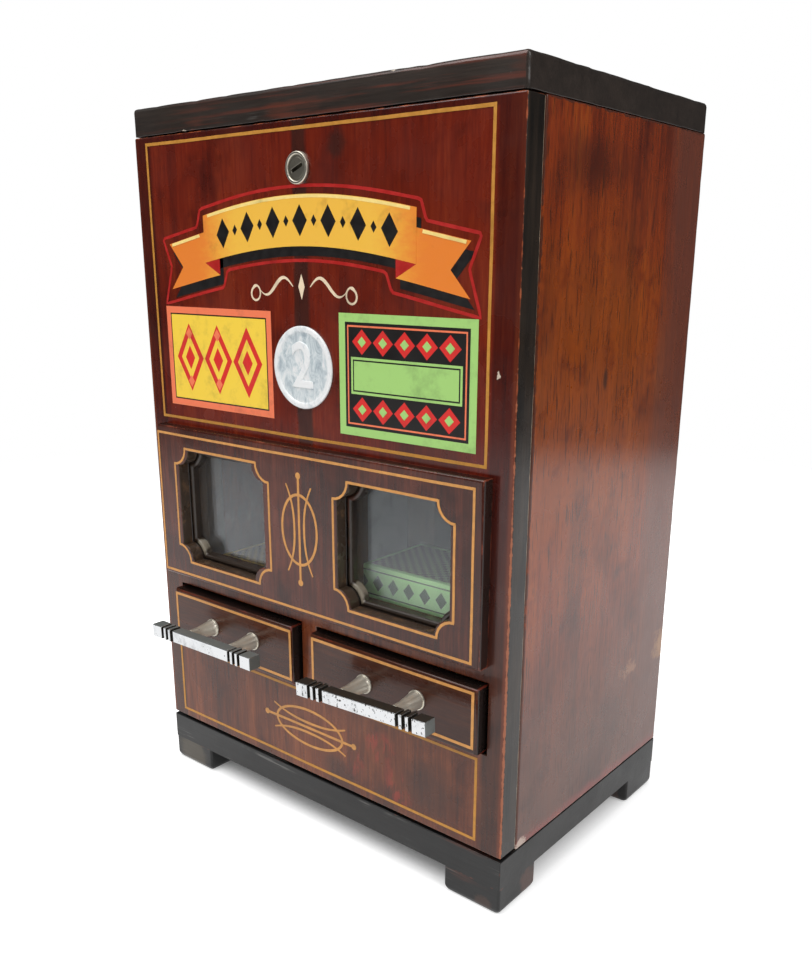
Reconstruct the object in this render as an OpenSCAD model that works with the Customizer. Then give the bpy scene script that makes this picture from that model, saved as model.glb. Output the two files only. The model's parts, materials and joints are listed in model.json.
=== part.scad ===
// Coin-operated cigarette cabinet: a wooden carcass with a lift-off front board,
// two packet columns behind glass, two pull drawers and a coin latch for each drawer.
// Millimetres. +Z is up, the front looks towards -Y, and the floor is at Z = 0.

/* [Cabinet] */
// Width over the side boards
cabinet_w = 215; // [205:1:235]
// Depth from the face of the front board to the back
cabinet_d = 142; // [138:1:170]
// Height of the feet
foot_h = 12.5; // [6:0.5:20]
// Width of a foot across the front
foot_w = 29; // [20:1:40]
// Length of a foot along the side
foot_l = 28; // [20:1:40]
// Bevel round the lower edge of a foot
foot_bevel = 1.6; // [0.4:0.2:3]
// Thickness of the base board
base_t = 13.5; // [8:0.5:18]
// Height of the side boards
body_h = 292; // [285:1:340]
// Thickness of the cap
cap_t = 12; // [8:0.5:18]
// Thickness of the side boards
side_t = 9; // [6:0.5:10]
// Thickness of the back panel
back_t = 6; // [4:0.5:8]

/* [Front board] */
// Thickness of the front board
front_t = 11.3; // [10.5:0.1:13]
// Gap between the base and the front board
front_foot_gap = 1.4; // [1:0.1:4]
// Gap between the front board and the cap
front_top_gap = 0.4; // [0.3:0.1:1]
// Gap between the front board and the carcass behind it
front_back_gap = 0.4; // [0.3:0.1:1]
// Width of the front board left of the left drawer opening
stile_left = 13.7; // [11:0.1:14.5]
// Width of the front board right of the right drawer opening
stile_right = 8.6; // [6:0.1:10]
// Width of the front board between the drawer openings
muntin_w = 9.6; // [8:0.1:12]
// How far the strip between the drawers lies left of the cabinet's middle
muntin_shift = 1.3; // [0:0.1:2]
// Diameter of the dowels that carry the front board
dowel_d = 7; // [5:0.5:8]
// Length of a dowel inside the front board
dowel_reach = 7; // [4:0.5:8]
// Running clearance round a dowel, on the radius
dowel_play = 0.05; // [0.02:0.01:0.1]

/* [Windows] */
// Margin of the front board left and right of the window panel
panel_margin = 9.3; // [6:0.1:12]
// Height of the window panel
panel_h = 76; // [72:0.5:90]
// Thickness of the window panel
panel_t = 5.6; // [4:0.1:8]
// Gap between the drawer openings and the window panel
panel_gap = 6.8; // [3:0.1:12]
// Width of a window
window_w = 60.3; // [50:0.1:64]
// Height of a window
window_h = 55.2; // [45:0.1:58]
// Middle of a window from the end of the window panel
window_inset = 45.2; // [42:0.1:50]
// Middle of the windows below the middle of the panel
window_drop = 0.7; // [0:0.1:3]
// Radius of the scooped window corners
scoop_r = 7.5; // [4:0.1:10]
// Width of the bead in a window
bead_w = 2.6; // [2:0.1:4]
// Thickness of the bead
bead_t = 3.8; // [2:0.1:4]
// Thickness of the front board left in front of the glass
lip_t = 4.4; // [4:0.1:6]
// Thickness of the glass
glass_t = 2; // [1.5:0.1:3]
// How far the glass goes past the window on each side
glass_lap = 3.4; // [2.5:0.1:4]
// Width of the strips that hold the glass
glass_strip_w = 4; // [3:0.1:5]

/* [Price disc] */
// Diameter of the price disc
disc_d = 34.6; // [20:0.1:45]
// Thickness of the price disc
disc_t = 1.2; // [0.6:0.1:3]
// Middle of the price disc above the window panel
disc_rise = 33.5; // [28:0.1:50]

/* [Lock] */
// Middle of the lock below the front board's upper edge
lock_drop = 18.3; // [16:0.1:24]
// Diameter of the lock's ring
lock_ring_d = 12.5; // [11.5:0.1:15]
// How far the ring stands proud
lock_ring_t = 1.5; // [0.8:0.1:3]
// Width of the ring's raised rim
lock_rim_w = 1.3; // [0.6:0.1:1.5]
// Height of the rim above the lock's face
lock_rim_h = 0.5; // [0.2:0.1:0.7]
// Diameter of the lock's case
lock_case_d = 10.5; // [9:0.1:11]
// Length of the case behind the front board's face
lock_case_l = 20; // [18:0.5:22]
// Diameter of the turning plug
lock_plug_d = 8; // [7.2:0.1:8.4]
// Running clearance round the plug, on the radius
lock_play = 0.05; // [0.02:0.01:0.1]
// Angle of the keyway above level at rest
keyway_angle = 22; // [0:1:45]
// Length of the keyway
keyway_l = 6.4; // [4:0.1:6.4]
// Width of the keyway
keyway_w = 1.5; // [0.8:0.1:2]
// Depth of the keyway
keyway_depth = 3; // [1:0.5:6]
// Diameter across the nut
lock_nut_d = 15.5; // [13:0.5:18]
// Thickness of the nut
lock_nut_t = 4; // [2:0.5:5]
// Reach of the cam from the lock's axis
cam_reach = 13; // [12:0.1:13.4]
// Width of the cam
cam_w = 9; // [7:0.5:10]
// Thickness of the cam
cam_t = 2; // [1.5:0.1:3]
// Thickness of the strike plate
strike_t = 1.5; // [1:0.1:2]
// Width of the strike plate
strike_w = 26; // [16:1:40]

/* [Drawers] */
// Lower edge of the drawer fronts above the front board's lower edge
drawer_rise = 46.6; // [44:0.1:60]
// Height of the drawer fronts
drawer_h = 29; // [28:0.1:31]
// Thickness of the drawer fronts
drawer_front_t = 14; // [12:0.5:15]
// How far the drawer fronts stand proud of the front board
drawer_proud = 5.6; // [3:0.1:8]
// Gap round a drawer front
drawer_gap = 1.2; // [0.5:0.1:2]
// How far a drawer pulls out
drawer_travel = 70; // [60:1:72]
// Thickness of a drawer box's side walls
box_wall = 3; // [2.5:0.1:3.4]
// Thickness of a drawer box's floor
box_floor_t = 4; // [3:0.5:5]
// Thickness of the deck behind the tray
deck_t = 3; // [2:0.1:4]
// Floor of the drawer box above the drawer front's lower edge
box_rise = 4.5; // [3:0.1:5]
// Running gap between a drawer and what guides it
drawer_play = 0.3; // [0.2:0.05:0.4]
// Thickness of the shelf under the drawers
shelf_t = 8; // [6:0.5:10]
// Height of the strips that guide the drawers
guide_h = 13.5; // [8:0.5:14]
// Diameter of the peg that stops a drawer
peg_d = 5; // [4:0.5:7]

/* [Handles] */
// Distance between a handle's posts
post_spacing = 29.5; // [24:0.5:40]
// Distance from the drawer front to the bar
post_l = 14.4; // [12:0.1:18]
// Diameter of a post's foot
post_foot_d = 8.8; // [7.8:0.1:10]
// Thickness of a post's foot
post_foot_t = 1; // [0.6:0.1:2]
// How far the foot stands out past the post's taper
post_lip = 0.4; // [0.2:0.1:0.8]
// Length of the taper between the foot and the neck
post_taper_l = 8.5; // [4:0.5:9.5]
// Diameter of a post's neck
post_neck_d = 5.4; // [4.6:0.1:6]
// Length of the bar
bar_l = 71.5; // [62:0.5:78]
// Section of the bar's ends and ridges
bar_s = 6.4; // [5.6:0.1:8]
// Depth of the grooves between the ridges
groove_depth = 1.2; // [0.4:0.1:1.4]
// Width of a ridge
ridge_w = 1.9; // [1:0.1:2]
// Width of a groove
groove_w = 1.5; // [0.8:0.1:1.6]
// Number of ridges at each end
ridge_count = 2; // [1:1:3]
// Length of the plain block at each end of the bar
bar_end_l = 7; // [4:0.1:9]
// How far the plain middle of the bar is set back from the ridges
bar_set_back = 0.3; // [0.1:0.1:0.6]
// Middle of the handle above the drawer front's lower edge
handle_rise = 15; // [12:0.5:17]
// Middle of the handle right of the drawer's middle
handle_shift = 1.4; // [0:0.1:2.5]
// Tilt of the left handle on its drawer, in degrees, right end up
left_handle_tilt = 1; // [-3:0.5:3]
// Tilt of the right handle on its drawer, in degrees, right end up
right_handle_tilt = 3; // [-3:0.5:3]
// Diameter of the screws that hold the posts
post_screw_d = 3.2; // [2.4:0.1:3.6]

/* [Packets] */
// Width of a packet
packet_w = 73; // [68:1:74]
// Depth of a packet
packet_d = 42; // [38:1:44]
// Thickness of a packet
packet_t = 16; // [14:0.5:16.5]
// Play on each side of a packet
packet_play = 1.5; // [1:0.1:2]
// Front of the packets behind the front board's face
packet_front = 20.6; // [18:0.1:24]
// Packets above the left deck
left_stack = 1; // [1:1:8]
// Packets above the right deck
right_stack = 2; // [1:1:8]

/* [Coin works] */
// Diameter of the coin
coin_d = 28.5; // [24:0.1:30]
// Thickness of the coin
coin_t = 2; // [1.6:0.1:2.4]
// Play round a coin in its chute
coin_play = 1; // [0.6:0.1:1.2]
// Sheet that the chutes are folded from
chute_wall = 0.8; // [0.5:0.1:1]
// Gap between the lock and the chutes behind it
chute_gap_y = 1.8; // [1:0.1:3]
// Thickness of the partition between the columns
partition_t = 6; // [4:0.5:6]
// Width of the column guide strips
strip_w = 10; // [8:0.5:11]
// Thickness of the coin slot plate
slot_plate_t = 1.2; // [0.8:0.1:2]
// Thickness of a coin latch
latch_t = 2.5; // [1.5:0.1:2.5]
// Height of a coin latch's arm
latch_arm_h = 5; // [4:0.5:6]
// Diameter of the pin that the latches turn on
latch_pin_d = 3; // [2:0.5:4]
// Running clearance on the latch pin, on the radius
latch_play = 0.05; // [0.02:0.01:0.1]
// Length of a latch's nose
nose_l = 6; // [4:0.5:7]
// Height of the catch that the nose drops in front of
catch_h = 5; // [4:0.5:5]
// Height of the cash box
cash_box_h = 32; // [20:1:34]
// Thickness of the cash box walls
cash_box_wall = 3; // [2:0.5:4]

/* [Hidden] */
$fn = 64;

LEFT = 0;
RIGHT = 1;
// A tool that cuts right through reaches this far past each face
past = 1;
// Gap that keeps stacked pieces apart
stack_gap = 0.2;

// Heights
base_top = foot_h + base_t;
cap_bottom = base_top + body_h;
cabinet_h = cap_bottom + cap_t;
front_bottom = base_top + front_foot_gap;
front_top = cap_bottom - front_top_gap;

// Depths are counted from the front board's face, and the whole is then centred on the floor
bar_front = drawer_proud + post_l + bar_s;
mid_y = (cabinet_d - bar_front) / 2;
carcass_y = front_t + front_back_gap;
inside_back = cabinet_d - back_t;
inside_half = cabinet_w / 2 - side_t;

// Drawers
drawer_z = front_bottom + drawer_rise;
opening_z = [drawer_z - drawer_gap, drawer_z + drawer_h + drawer_gap];
opening_left = [-cabinet_w / 2 + stile_left, -muntin_shift - muntin_w / 2];
opening_right = [-muntin_shift + muntin_w / 2, cabinet_w / 2 - stile_right];
function opening_x(s) = s == LEFT ? opening_left : opening_right;
function drawer_mid(s) = (opening_x(s)[0] + opening_x(s)[1]) / 2;
box_y = drawer_front_t - drawer_proud;
box_back_gap = 2;
box_back = inside_back - box_back_gap;
box_inner_w = packet_w + 2 * packet_play;
box_w = box_inner_w + 2 * box_wall;
box_z = drawer_z + box_rise;
tray_floor = box_z + box_floor_t;
tray_play = 1;
packet_back = packet_front + packet_d;
tray_back = packet_back + tray_play;
deck_clear = 1.2;
deck_top = tray_floor + packet_t + deck_clear;
shelf_top = box_z - drawer_play;
shelf_bottom = shelf_top - shelf_t;
stack_z = deck_top + drawer_play;

// Handles
handle_z = drawer_z + handle_rise;
screw_head_d = 6.4;
screw_head_t = 2.4;
screw_in_post = 8;
grooves_l = ridge_count * ridge_w + (ridge_count + 1) * groove_w;
bar_plain = bar_l / 2 - bar_end_l - grooves_l;
bar_y = -drawer_proud - post_l - bar_s / 2;
post_x = [-post_spacing / 2, post_spacing / 2];
function handle_tilt(s) = s == LEFT ? left_handle_tilt : right_handle_tilt;

// Windows
panel_x = cabinet_w / 2 - panel_margin;
panel_z = opening_z[1] + panel_gap;
window_x = panel_x - window_inset;
window_z = panel_z + panel_h / 2 - window_drop;
disc_z = panel_z + panel_h + disc_rise;
glass_play = 0.1;
glass_front = lip_t + glass_play;
glass_back = glass_front + glass_t;
rebate_w = window_w + 2 * glass_lap + 2 * glass_play;
rebate_h = window_h + 2 * glass_lap + 2 * glass_play;

// Columns and coin works lie mirrored about the partition; u is the distance from its middle
mid_x = (drawer_mid(LEFT) + drawer_mid(RIGHT)) / 2;
box_u = (drawer_mid(RIGHT) - drawer_mid(LEFT)) / 2;
wall_u = box_u - box_w / 2;
far_wall_u = box_u + box_w / 2;
function side_u(s) = s == LEFT ? inside_half + mid_x : inside_half - mid_x;
partition_u = partition_t / 2;
partition_set_back = 2.3;
partition_front = carcass_y + partition_set_back;

// Lock
lock_z = front_top - lock_drop;
lock_face_y = lock_rim_h - lock_ring_t;
cam_gap = 2;
cam_y = lock_case_l + cam_gap;
cam_screw_head_d = 6;
cam_screw_head_t = 2.2;
cam_screw_d = 3;
cam_screw_l = 8;
lock_back = cam_y + cam_t + cam_screw_head_t;
lock_room = 5;
lock_room_y = lock_back + lock_room;
lock_room_z = lock_z - cam_w - lock_room;
strike_gap = 0.6;
strike_y = cam_y - strike_gap - strike_t;
strike_clear = 2;
strike_bottom = lock_z + lock_case_d / 2 + strike_clear;
strike_set_back = 1;
strike_front = carcass_y + strike_set_back;

// Coin chutes
chute_w = coin_d + 2 * coin_play;
chute_gap = coin_t + coin_play;
chute_u = partition_u + chute_wall;
chute_front = lock_back + chute_gap_y;
chute_back = chute_front + chute_w + 2 * chute_wall;
slot_plate_margin = 7;
slot_plate_w = 2 * (chute_u + chute_gap + slot_plate_margin);
slot_plate_l = chute_w + 2 * slot_plate_margin;
shelf_slot_play = 0.5;
guide_gap = 1;

// Packet columns
packet_u = box_u - packet_w / 2;
strip_play = 0.6;
strip_set_back = 1;
strip_front_y = partition_front + strip_set_back;
strip_rear_y = max(packet_back, chute_back) + strip_play;
strip_rear_t = 8;
strip_lap = 8;
strip_lift = 1.3;
strip_z = deck_top + strip_lift;

// Coin latches
catch_drop = 1.7;
low_wall_top = deck_top - catch_h - catch_drop;
catch_top = low_wall_top + catch_h;
latch_set_back = 2.4;
latch_y = tray_back + latch_set_back;
latch_lift = 6.3;
latch_z = deck_top + latch_lift;
latch_boss = 2.5;
latch_arm_drop = 3;
latch_arm_z = latch_z - latch_arm_drop;
nose_arm = 18;
nose_y = latch_y + nose_arm;
nose_clear = 1;
nose_bottom = catch_top + nose_clear;
pan_inset = 2.4;
pan_y = [chute_front + pan_inset, chute_back - pan_inset];
pan_t = 1.5;
pan_gap = 0.9;
pan_u = partition_u + pan_gap;
latch_u = wall_u + (box_wall - latch_t) / 2;
chute_lift = 8;
chute_bottom = latch_z + chute_lift;
stop_pin_d = 2.4;
stop_gap = 0.4;
stop_pin_y = (pan_y[0] + pan_y[1]) / 2;
stop_pin_z = latch_arm_z - stop_gap - stop_pin_d / 2;
pin_head_t = 0.8;
pin_head_lip = 1;
pin_head_d = latch_pin_d + 2 * pin_head_lip;

// Drawer catch and peg
catch_gap = 0.5;
catch_y = nose_y + nose_l + catch_gap;
catch_l = 7;
catch_flat = 2.4;
catch_toe = 1;
peg_inset = 24;
peg_y = box_back - peg_inset;
peg_reach = 5;

// Cash box, blocks and screws
block_w = 15;
block_d = 12.3;
block_h = 23;
cleat_w = 10;
cleat_h = 10;
cash_box_gap = 2;
cash_box_x = inside_half - block_w - cash_box_gap;
cash_box_y = [carcass_y + block_d + cash_box_gap, inside_back - cash_box_gap];
dowel_x = inside_half - block_w / 2;
dowel_z = base_top + block_h / 2;
dowel_backing = 2;
dowel_end = carcass_y + block_d - dowel_backing;
dowel_hole_end = 0.5;
back_screw_d = 3;
back_screw_l = 16;
back_screw_head_d = 6;
back_screw_side = 58;
back_screw_inset = 30;
back_screw_places = [
  [mid_x, shelf_top + back_screw_inset], [mid_x, (shelf_top + cap_bottom) / 2],
  [mid_x, cap_bottom - back_screw_inset],
  [-back_screw_side, shelf_top - shelf_t / 2], [back_screw_side, shelf_top - shelf_t / 2]
];

// Colours
mahogany = "#6b2a18";
ebony = "#1c1715";
pale_wood = "#b08a5a";
tin = "#a9a9a4";
brass = "#b08d3e";
nickel = "#c4c0b4";
chrome = "#d8dade";
silver = "#cdd2d6";
glass_grey = "#7d8b93";
green_card = "#a5d7a5";
yellow_card = "#e2c04a";

// Shared shapes

module placed() translate([0, -mid_y, 0]) children();

// Maps u, the distance from the partition's middle, to the left or the right column
module column(s) placed() translate([mid_x, 0, 0]) mirror([s == LEFT ? 1 : 0, 0, 0]) children();

module block(low, high) translate(low) cube(high - low);

module rod_x(x, y, z, d) translate([x[0], y, z]) rotate([0, 90, 0]) cylinder(h = x[1] - x[0], d = d);

module rod_y(x, y, z, d) translate([x, y[0], z]) rotate([-90, 0, 0]) cylinder(h = y[1] - y[0], d = d);

// Extrudes an outline drawn in X and Z from depth y[0] to y[1]
module slab(y) translate([0, y[1], 0]) rotate([90, 0, 0]) linear_extrude(y[1] - y[0]) children();

// Extrudes an outline drawn in Y and Z from x[0] to x[1]
module plate(x) translate([x[0], 0, 0]) rotate([90, 0, 90]) linear_extrude(x[1] - x[0]) children();

module rect(low, high) translate(low) square(high - low);

// A window outline whose corners are cut by circles, drawn in by inset all round
module scooped(inset) difference() {
  square([window_w - 2 * inset, window_h - 2 * inset], center = true);
  for (x = [-window_w / 2, window_w / 2], z = [-window_h / 2, window_h / 2]) translate([x, z])
    circle(scoop_r + inset);
}

function window_mid(s) = [s == LEFT ? -window_x : window_x, window_z];

// Carcass

module base_board() color(ebony) placed()
  block([-cabinet_w / 2, 0, foot_h], [cabinet_w / 2, cabinet_d, base_top]);

// The side view of a foot of length l, with its lower edges bevelled
module foot_outline(l) polygon([
  [foot_bevel, 0], [l - foot_bevel, 0], [l, foot_bevel], [l, foot_h], [0, foot_h], [0, foot_bevel]
]);

module foot(x, y) translate([x, y, 0]) intersection() {
  slab([0, foot_l]) foot_outline(foot_w);
  plate([0, foot_w]) foot_outline(foot_l);
}

module feet(y) color(ebony) placed() for (x = [-cabinet_w / 2, cabinet_w / 2 - foot_w]) foot(x, y);

module front_feet() feet(0);

module rear_feet() feet(cabinet_d - foot_l);

module side_board(x) color(mahogany) placed()
  block([x, carcass_y, base_top], [x + side_t, cabinet_d, cap_bottom]);

module left_side() side_board(-cabinet_w / 2);

module right_side() side_board(inside_half);

// Screws go through the back panel into the partition and the shelf
module back_screw_shapes() for (p = back_screw_places) {
  rod_y(p[0], [cabinet_d - back_screw_l, cabinet_d], p[1], back_screw_d);
  translate([p[0], cabinet_d, p[1]]) rotate([90, 0, 0])
    cylinder(h = (back_screw_head_d - back_screw_d) / 2, d1 = back_screw_head_d, d2 = back_screw_d);
}

module back_panel() color(mahogany) placed() difference() {
  block([-inside_half, inside_back, base_top], [inside_half, cabinet_d, cap_bottom]);
  back_screw_shapes();
}

module back_screws() color(brass) placed() back_screw_shapes();

module coin_slots(z) for (s = [LEFT, RIGHT]) translate([mid_x, 0, 0]) mirror([s == LEFT ? 1 : 0, 0, 0])
  block([chute_u, chute_front + chute_wall, z[0]], [chute_u + chute_gap, chute_back - chute_wall, z[1]]);

module slot_plate_shape() translate([mid_x, (chute_front + chute_back) / 2, cabinet_h - slot_plate_t])
  translate([-slot_plate_w / 2, -slot_plate_l / 2, 0])
    cube([slot_plate_w, slot_plate_l, slot_plate_t + past]);

module top_cap() color(ebony) placed() difference() {
  block([-cabinet_w / 2, 0, cap_bottom], [cabinet_w / 2, cabinet_d, cabinet_h]);
  slot_plate_shape();
  coin_slots([cap_bottom - past, cabinet_h + past]);
}

module coin_slot_plate() color(brass) placed() difference() {
  intersection() {
    slot_plate_shape();
    block([-cabinet_w / 2, 0, cap_bottom], [cabinet_w / 2, cabinet_d, cabinet_h]);
  }
  coin_slots([cap_bottom, cabinet_h + past]);
}

// Partition, columns and chutes

module partition() color(pale_wood) placed() difference() {
  translate([mid_x, 0, 0]) plate([-partition_u, partition_u]) polygon([
    [partition_front, shelf_top], [inside_back, shelf_top], [inside_back, cap_bottom],
    [lock_room_y, cap_bottom], [lock_room_y, lock_room_z], [partition_front, lock_room_z]
  ]);
  latch_pin_shape();
  latch_stop_pin_shape();
  back_screw_shapes();
}

module coin_chute(s) color(tin) column(s) difference() {
  block([partition_u, chute_front, chute_bottom],
        [partition_u + chute_gap + 2 * chute_wall, chute_back, cap_bottom]);
  block([chute_u, chute_front + chute_wall, chute_bottom - past],
        [chute_u + chute_gap, chute_back - chute_wall, cap_bottom + past]);
}

module left_coin_chute() coin_chute(LEFT);

module right_coin_chute() coin_chute(RIGHT);

// Four upright strips keep a stack of packets in line
module column_guides(s) color(pale_wood) column(s) {
  inner_u = packet_u - strip_play;
  outer_u = packet_u + packet_w + strip_play;
  block([partition_u, strip_front_y, strip_z], [inner_u, strip_front_y + strip_w, lock_room_z]);
  block([outer_u, strip_front_y, strip_z], [side_u(s), strip_front_y + strip_w, lock_room_z]);
  block([partition_u, strip_rear_y, chute_bottom],
        [inner_u + strip_lap, strip_rear_y + strip_rear_t, cap_bottom]);
  block([outer_u - strip_lap, strip_rear_y, strip_z],
        [side_u(s), strip_rear_y + strip_rear_t, cap_bottom]);
}

module left_column_guides() column_guides(LEFT);

module right_column_guides() column_guides(RIGHT);

module packet(z) block([packet_u, packet_front, z], [packet_u + packet_w, packet_back, z + packet_t]);

module stack(s, count) column(s) for (i = [0 : count - 1]) packet(stack_z + i * (packet_t + stack_gap));

module left_packets() color(yellow_card) stack(LEFT, left_stack);

module right_packets() color(green_card) stack(RIGHT, right_stack);

// Shelf, guides, blocks and cash box

module drawer_shelf() color(pale_wood) difference() {
  placed() block([-inside_half, carcass_y, shelf_bottom], [inside_half, inside_back, shelf_top]);
  for (s = [LEFT, RIGHT]) column(s) {
    block([chute_u - shelf_slot_play, chute_front, shelf_bottom - past],
          [chute_u + chute_gap + shelf_slot_play, chute_back, shelf_top + past]);
    peg_room = peg_d / 2 + drawer_play;
    block([box_u - peg_room, peg_y - drawer_travel - peg_room, shelf_bottom - past],
          [box_u + peg_room, peg_y + peg_room, shelf_top + past]);
  }
  placed() back_screw_shapes();
}

module shelf_cleats() color(pale_wood) placed() for (x = [-inside_half, inside_half - cleat_w])
  block([x, carcass_y + block_d, shelf_bottom - cleat_h], [x + cleat_w, inside_back, shelf_bottom]);

// Each drawer runs between a strip on the side board and two short strips on the partition
module drawer_guides() color(pale_wood) for (s = [LEFT, RIGHT]) column(s) {
  guide_z = [shelf_top, shelf_top + guide_h];
  block([far_wall_u + drawer_play, carcass_y, guide_z[0]], [side_u(s), inside_back, guide_z[1]]);
  block([partition_u, partition_front, guide_z[0]],
        [wall_u - drawer_play, chute_front - guide_gap, guide_z[1]]);
  block([partition_u, chute_back + guide_gap, guide_z[0]],
        [wall_u - drawer_play, inside_back, guide_z[1]]);
}

module dowel_shapes(d, y) for (x = [-dowel_x, dowel_x]) rod_y(x, y, dowel_z, d);

module corner_blocks() color(pale_wood) placed() difference() {
  for (x = [-inside_half, inside_half - block_w])
    block([x, carcass_y, base_top], [x + block_w, carcass_y + block_d, base_top + block_h]);
  dowel_shapes(dowel_d, [carcass_y - past, dowel_end]);
}

module front_dowels() color(pale_wood) placed() dowel_shapes(dowel_d, [front_t - dowel_reach, dowel_end]);

module strike_plate() color(nickel) placed() {
  block([-strike_w / 2, strike_y, strike_bottom], [strike_w / 2, strike_y + strike_t, cap_bottom]);
  block([-strike_w / 2, strike_front, cap_bottom - strike_t],
        [strike_w / 2, strike_y + strike_t, cap_bottom]);
}

// One pin carries both latches, and its heads keep them on
module latch_pin_shape() translate([mid_x, 0, 0]) {
  head_u = latch_u + latch_t + drawer_play;
  rod_x([-head_u, head_u], latch_y, latch_z, latch_pin_d);
  for (u = [-head_u - pin_head_t, head_u]) rod_x([u, u + pin_head_t], latch_y, latch_z, pin_head_d);
}

module latch_pin() color(nickel) placed() latch_pin_shape();

module latch_stop_pin_shape() translate([mid_x, 0, 0])
  rod_x([drawer_play - wall_u, wall_u - drawer_play], stop_pin_y, stop_pin_z, stop_pin_d);

module latch_stop_pin() color(nickel) placed() latch_stop_pin_shape();

module cash_box() color(tin) placed() difference() {
  block([-cash_box_x, cash_box_y[0], base_top], [cash_box_x, cash_box_y[1], base_top + cash_box_h]);
  block([cash_box_wall - cash_box_x, cash_box_y[0] + cash_box_wall, base_top + cash_box_wall],
        [cash_box_x - cash_box_wall, cash_box_y[1] - cash_box_wall, base_top + cash_box_h + past]);
}

// Front board and what is fixed to it

module front_board() color(mahogany) placed() difference() {
  slab([0, front_t]) difference() {
    rect([-cabinet_w / 2, front_bottom], [cabinet_w / 2, front_top]);
    for (s = [LEFT, RIGHT]) {
      rect([opening_x(s)[0], opening_z[0]], [opening_x(s)[1], opening_z[1]]);
      translate(window_mid(s)) scooped(0);
    }
    translate([0, lock_z]) circle(d = lock_case_d);
  }
  for (s = [LEFT, RIGHT]) slab([lip_t, front_t + past]) translate(window_mid(s))
    square([rebate_w, rebate_h], center = true);
  dowel_shapes(dowel_d + 2 * dowel_play, [front_t - dowel_reach - dowel_hole_end, front_t + past]);
}

module window_panel() color(mahogany) placed() slab([-panel_t, 0]) difference() {
  rect([-panel_x, panel_z], [panel_x, panel_z + panel_h]);
  for (s = [LEFT, RIGHT]) translate(window_mid(s)) scooped(0);
}

module window_bead(s) color(ebony) placed() slab([lip_t - bead_t, lip_t]) translate(window_mid(s))
  difference() {
    scooped(0);
    scooped(bead_w);
  }

module left_window_bead() window_bead(LEFT);

module right_window_bead() window_bead(RIGHT);

module window_glass(s) color(glass_grey) placed() slab([glass_front, glass_back]) translate(window_mid(s))
  square([window_w + 2 * glass_lap, window_h + 2 * glass_lap], center = true);

module left_window_glass() window_glass(LEFT);

module right_window_glass() window_glass(RIGHT);

// Four strips behind the glass, the upright ones between the level ones
module glass_strips(s) color(pale_wood) placed() slab([glass_back, front_t]) translate(window_mid(s)) {
  for (z = [-rebate_h / 2, rebate_h / 2 - glass_strip_w])
    translate([-rebate_w / 2, z]) square([rebate_w, glass_strip_w]);
  for (x = [-rebate_w / 2, rebate_w / 2 - glass_strip_w])
    translate([x, glass_strip_w - rebate_h / 2 + stack_gap])
      square([glass_strip_w, rebate_h - 2 * glass_strip_w - 2 * stack_gap]);
}

module left_glass_strips() glass_strips(LEFT);

module right_glass_strips() glass_strips(RIGHT);

module price_disc() color(silver) placed() rod_y(0, [-disc_t, 0], disc_z, disc_d);

module lock_case() color(nickel) placed() difference() {
  union() {
    rod_y(0, [-lock_ring_t, 0], lock_z, lock_ring_d);
    rod_y(0, [0, lock_case_l], lock_z, lock_case_d);
  }
  rod_y(0, [-lock_ring_t - past, lock_face_y], lock_z, lock_ring_d - 2 * lock_rim_w);
  rod_y(0, [-lock_ring_t - past, lock_case_l + past], lock_z, lock_plug_d + 2 * lock_play);
}

module lock_nut() color(nickel) placed() difference() {
  translate([0, front_t, lock_z]) rotate([-90, 0, 0]) cylinder(h = lock_nut_t, d = lock_nut_d, $fn = 6);
  rod_y(0, [front_t - past, front_t + lock_nut_t + past], lock_z, lock_case_d);
}

// Lock plug, cam and screw turn together

module lock_plug() color(nickel) placed() difference() {
  rod_y(0, [lock_face_y, cam_y], lock_z, lock_plug_d);
  translate([0, lock_face_y, lock_z]) rotate([0, -keyway_angle, 0])
    cube([keyway_l, 2 * keyway_depth, keyway_w], center = true);
  rod_y(0, [cam_y + cam_t - cam_screw_l, cam_y + past], lock_z, cam_screw_d);
}

module lock_cam() color(nickel) placed() difference() {
  slab([cam_y, cam_y + cam_t]) translate([0, lock_z]) {
    circle(d = cam_w);
    translate([0, -cam_w / 2]) square([cam_reach, cam_w]);
  }
  rod_y(0, [cam_y - past, cam_y + cam_t + past], lock_z, cam_screw_d);
}

module lock_cam_screw() color(nickel) placed() {
  rod_y(0, [cam_y + cam_t - cam_screw_l, cam_y + cam_t], lock_z, cam_screw_d);
  rod_y(0, [cam_y + cam_t, cam_y + cam_t + cam_screw_head_t], lock_z, cam_screw_head_d);
}

// Drawers

// Puts a handle's pieces, drawn about its middle, on a drawer
module on_handle(s) translate([drawer_mid(s) + handle_shift, 0, handle_z])
  rotate([0, -handle_tilt(s), 0]) children();

module handle_screw_shapes(s) on_handle(s) for (x = post_x) {
  rod_y(x, [-drawer_proud - screw_in_post, box_y], 0, post_screw_d);
  rod_y(x, [box_y - screw_head_t, box_y], 0, screw_head_d);
}

module drawer_front(s) color(mahogany) placed() difference() {
  block([opening_x(s)[0] + drawer_gap, -drawer_proud, drawer_z],
        [opening_x(s)[1] - drawer_gap, box_y, drawer_z + drawer_h]);
  handle_screw_shapes(s);
}

module left_drawer_front() drawer_front(LEFT);

module right_drawer_front() drawer_front(RIGHT);

// The tray takes one packet; the wall next to the partition is low behind it, where the latch works
module drawer_box(s) color(pale_wood) column(s) difference() {
  union() {
    block([wall_u, box_y, box_z], [far_wall_u, box_back, tray_floor]);
    block([far_wall_u - box_wall, box_y, tray_floor], [far_wall_u, box_back, deck_top]);
    block([wall_u, box_y, tray_floor], [wall_u + box_wall, tray_back + box_wall, deck_top]);
    block([wall_u, tray_back, tray_floor], [wall_u + box_wall, box_back, low_wall_top]);
    for (y = [tray_back, box_back - box_wall])
      block([wall_u + box_wall, y, tray_floor], [far_wall_u - box_wall, y + box_wall, deck_top - deck_t]);
  }
  stop_peg_shape();
}

module left_drawer_box() drawer_box(LEFT);

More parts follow.
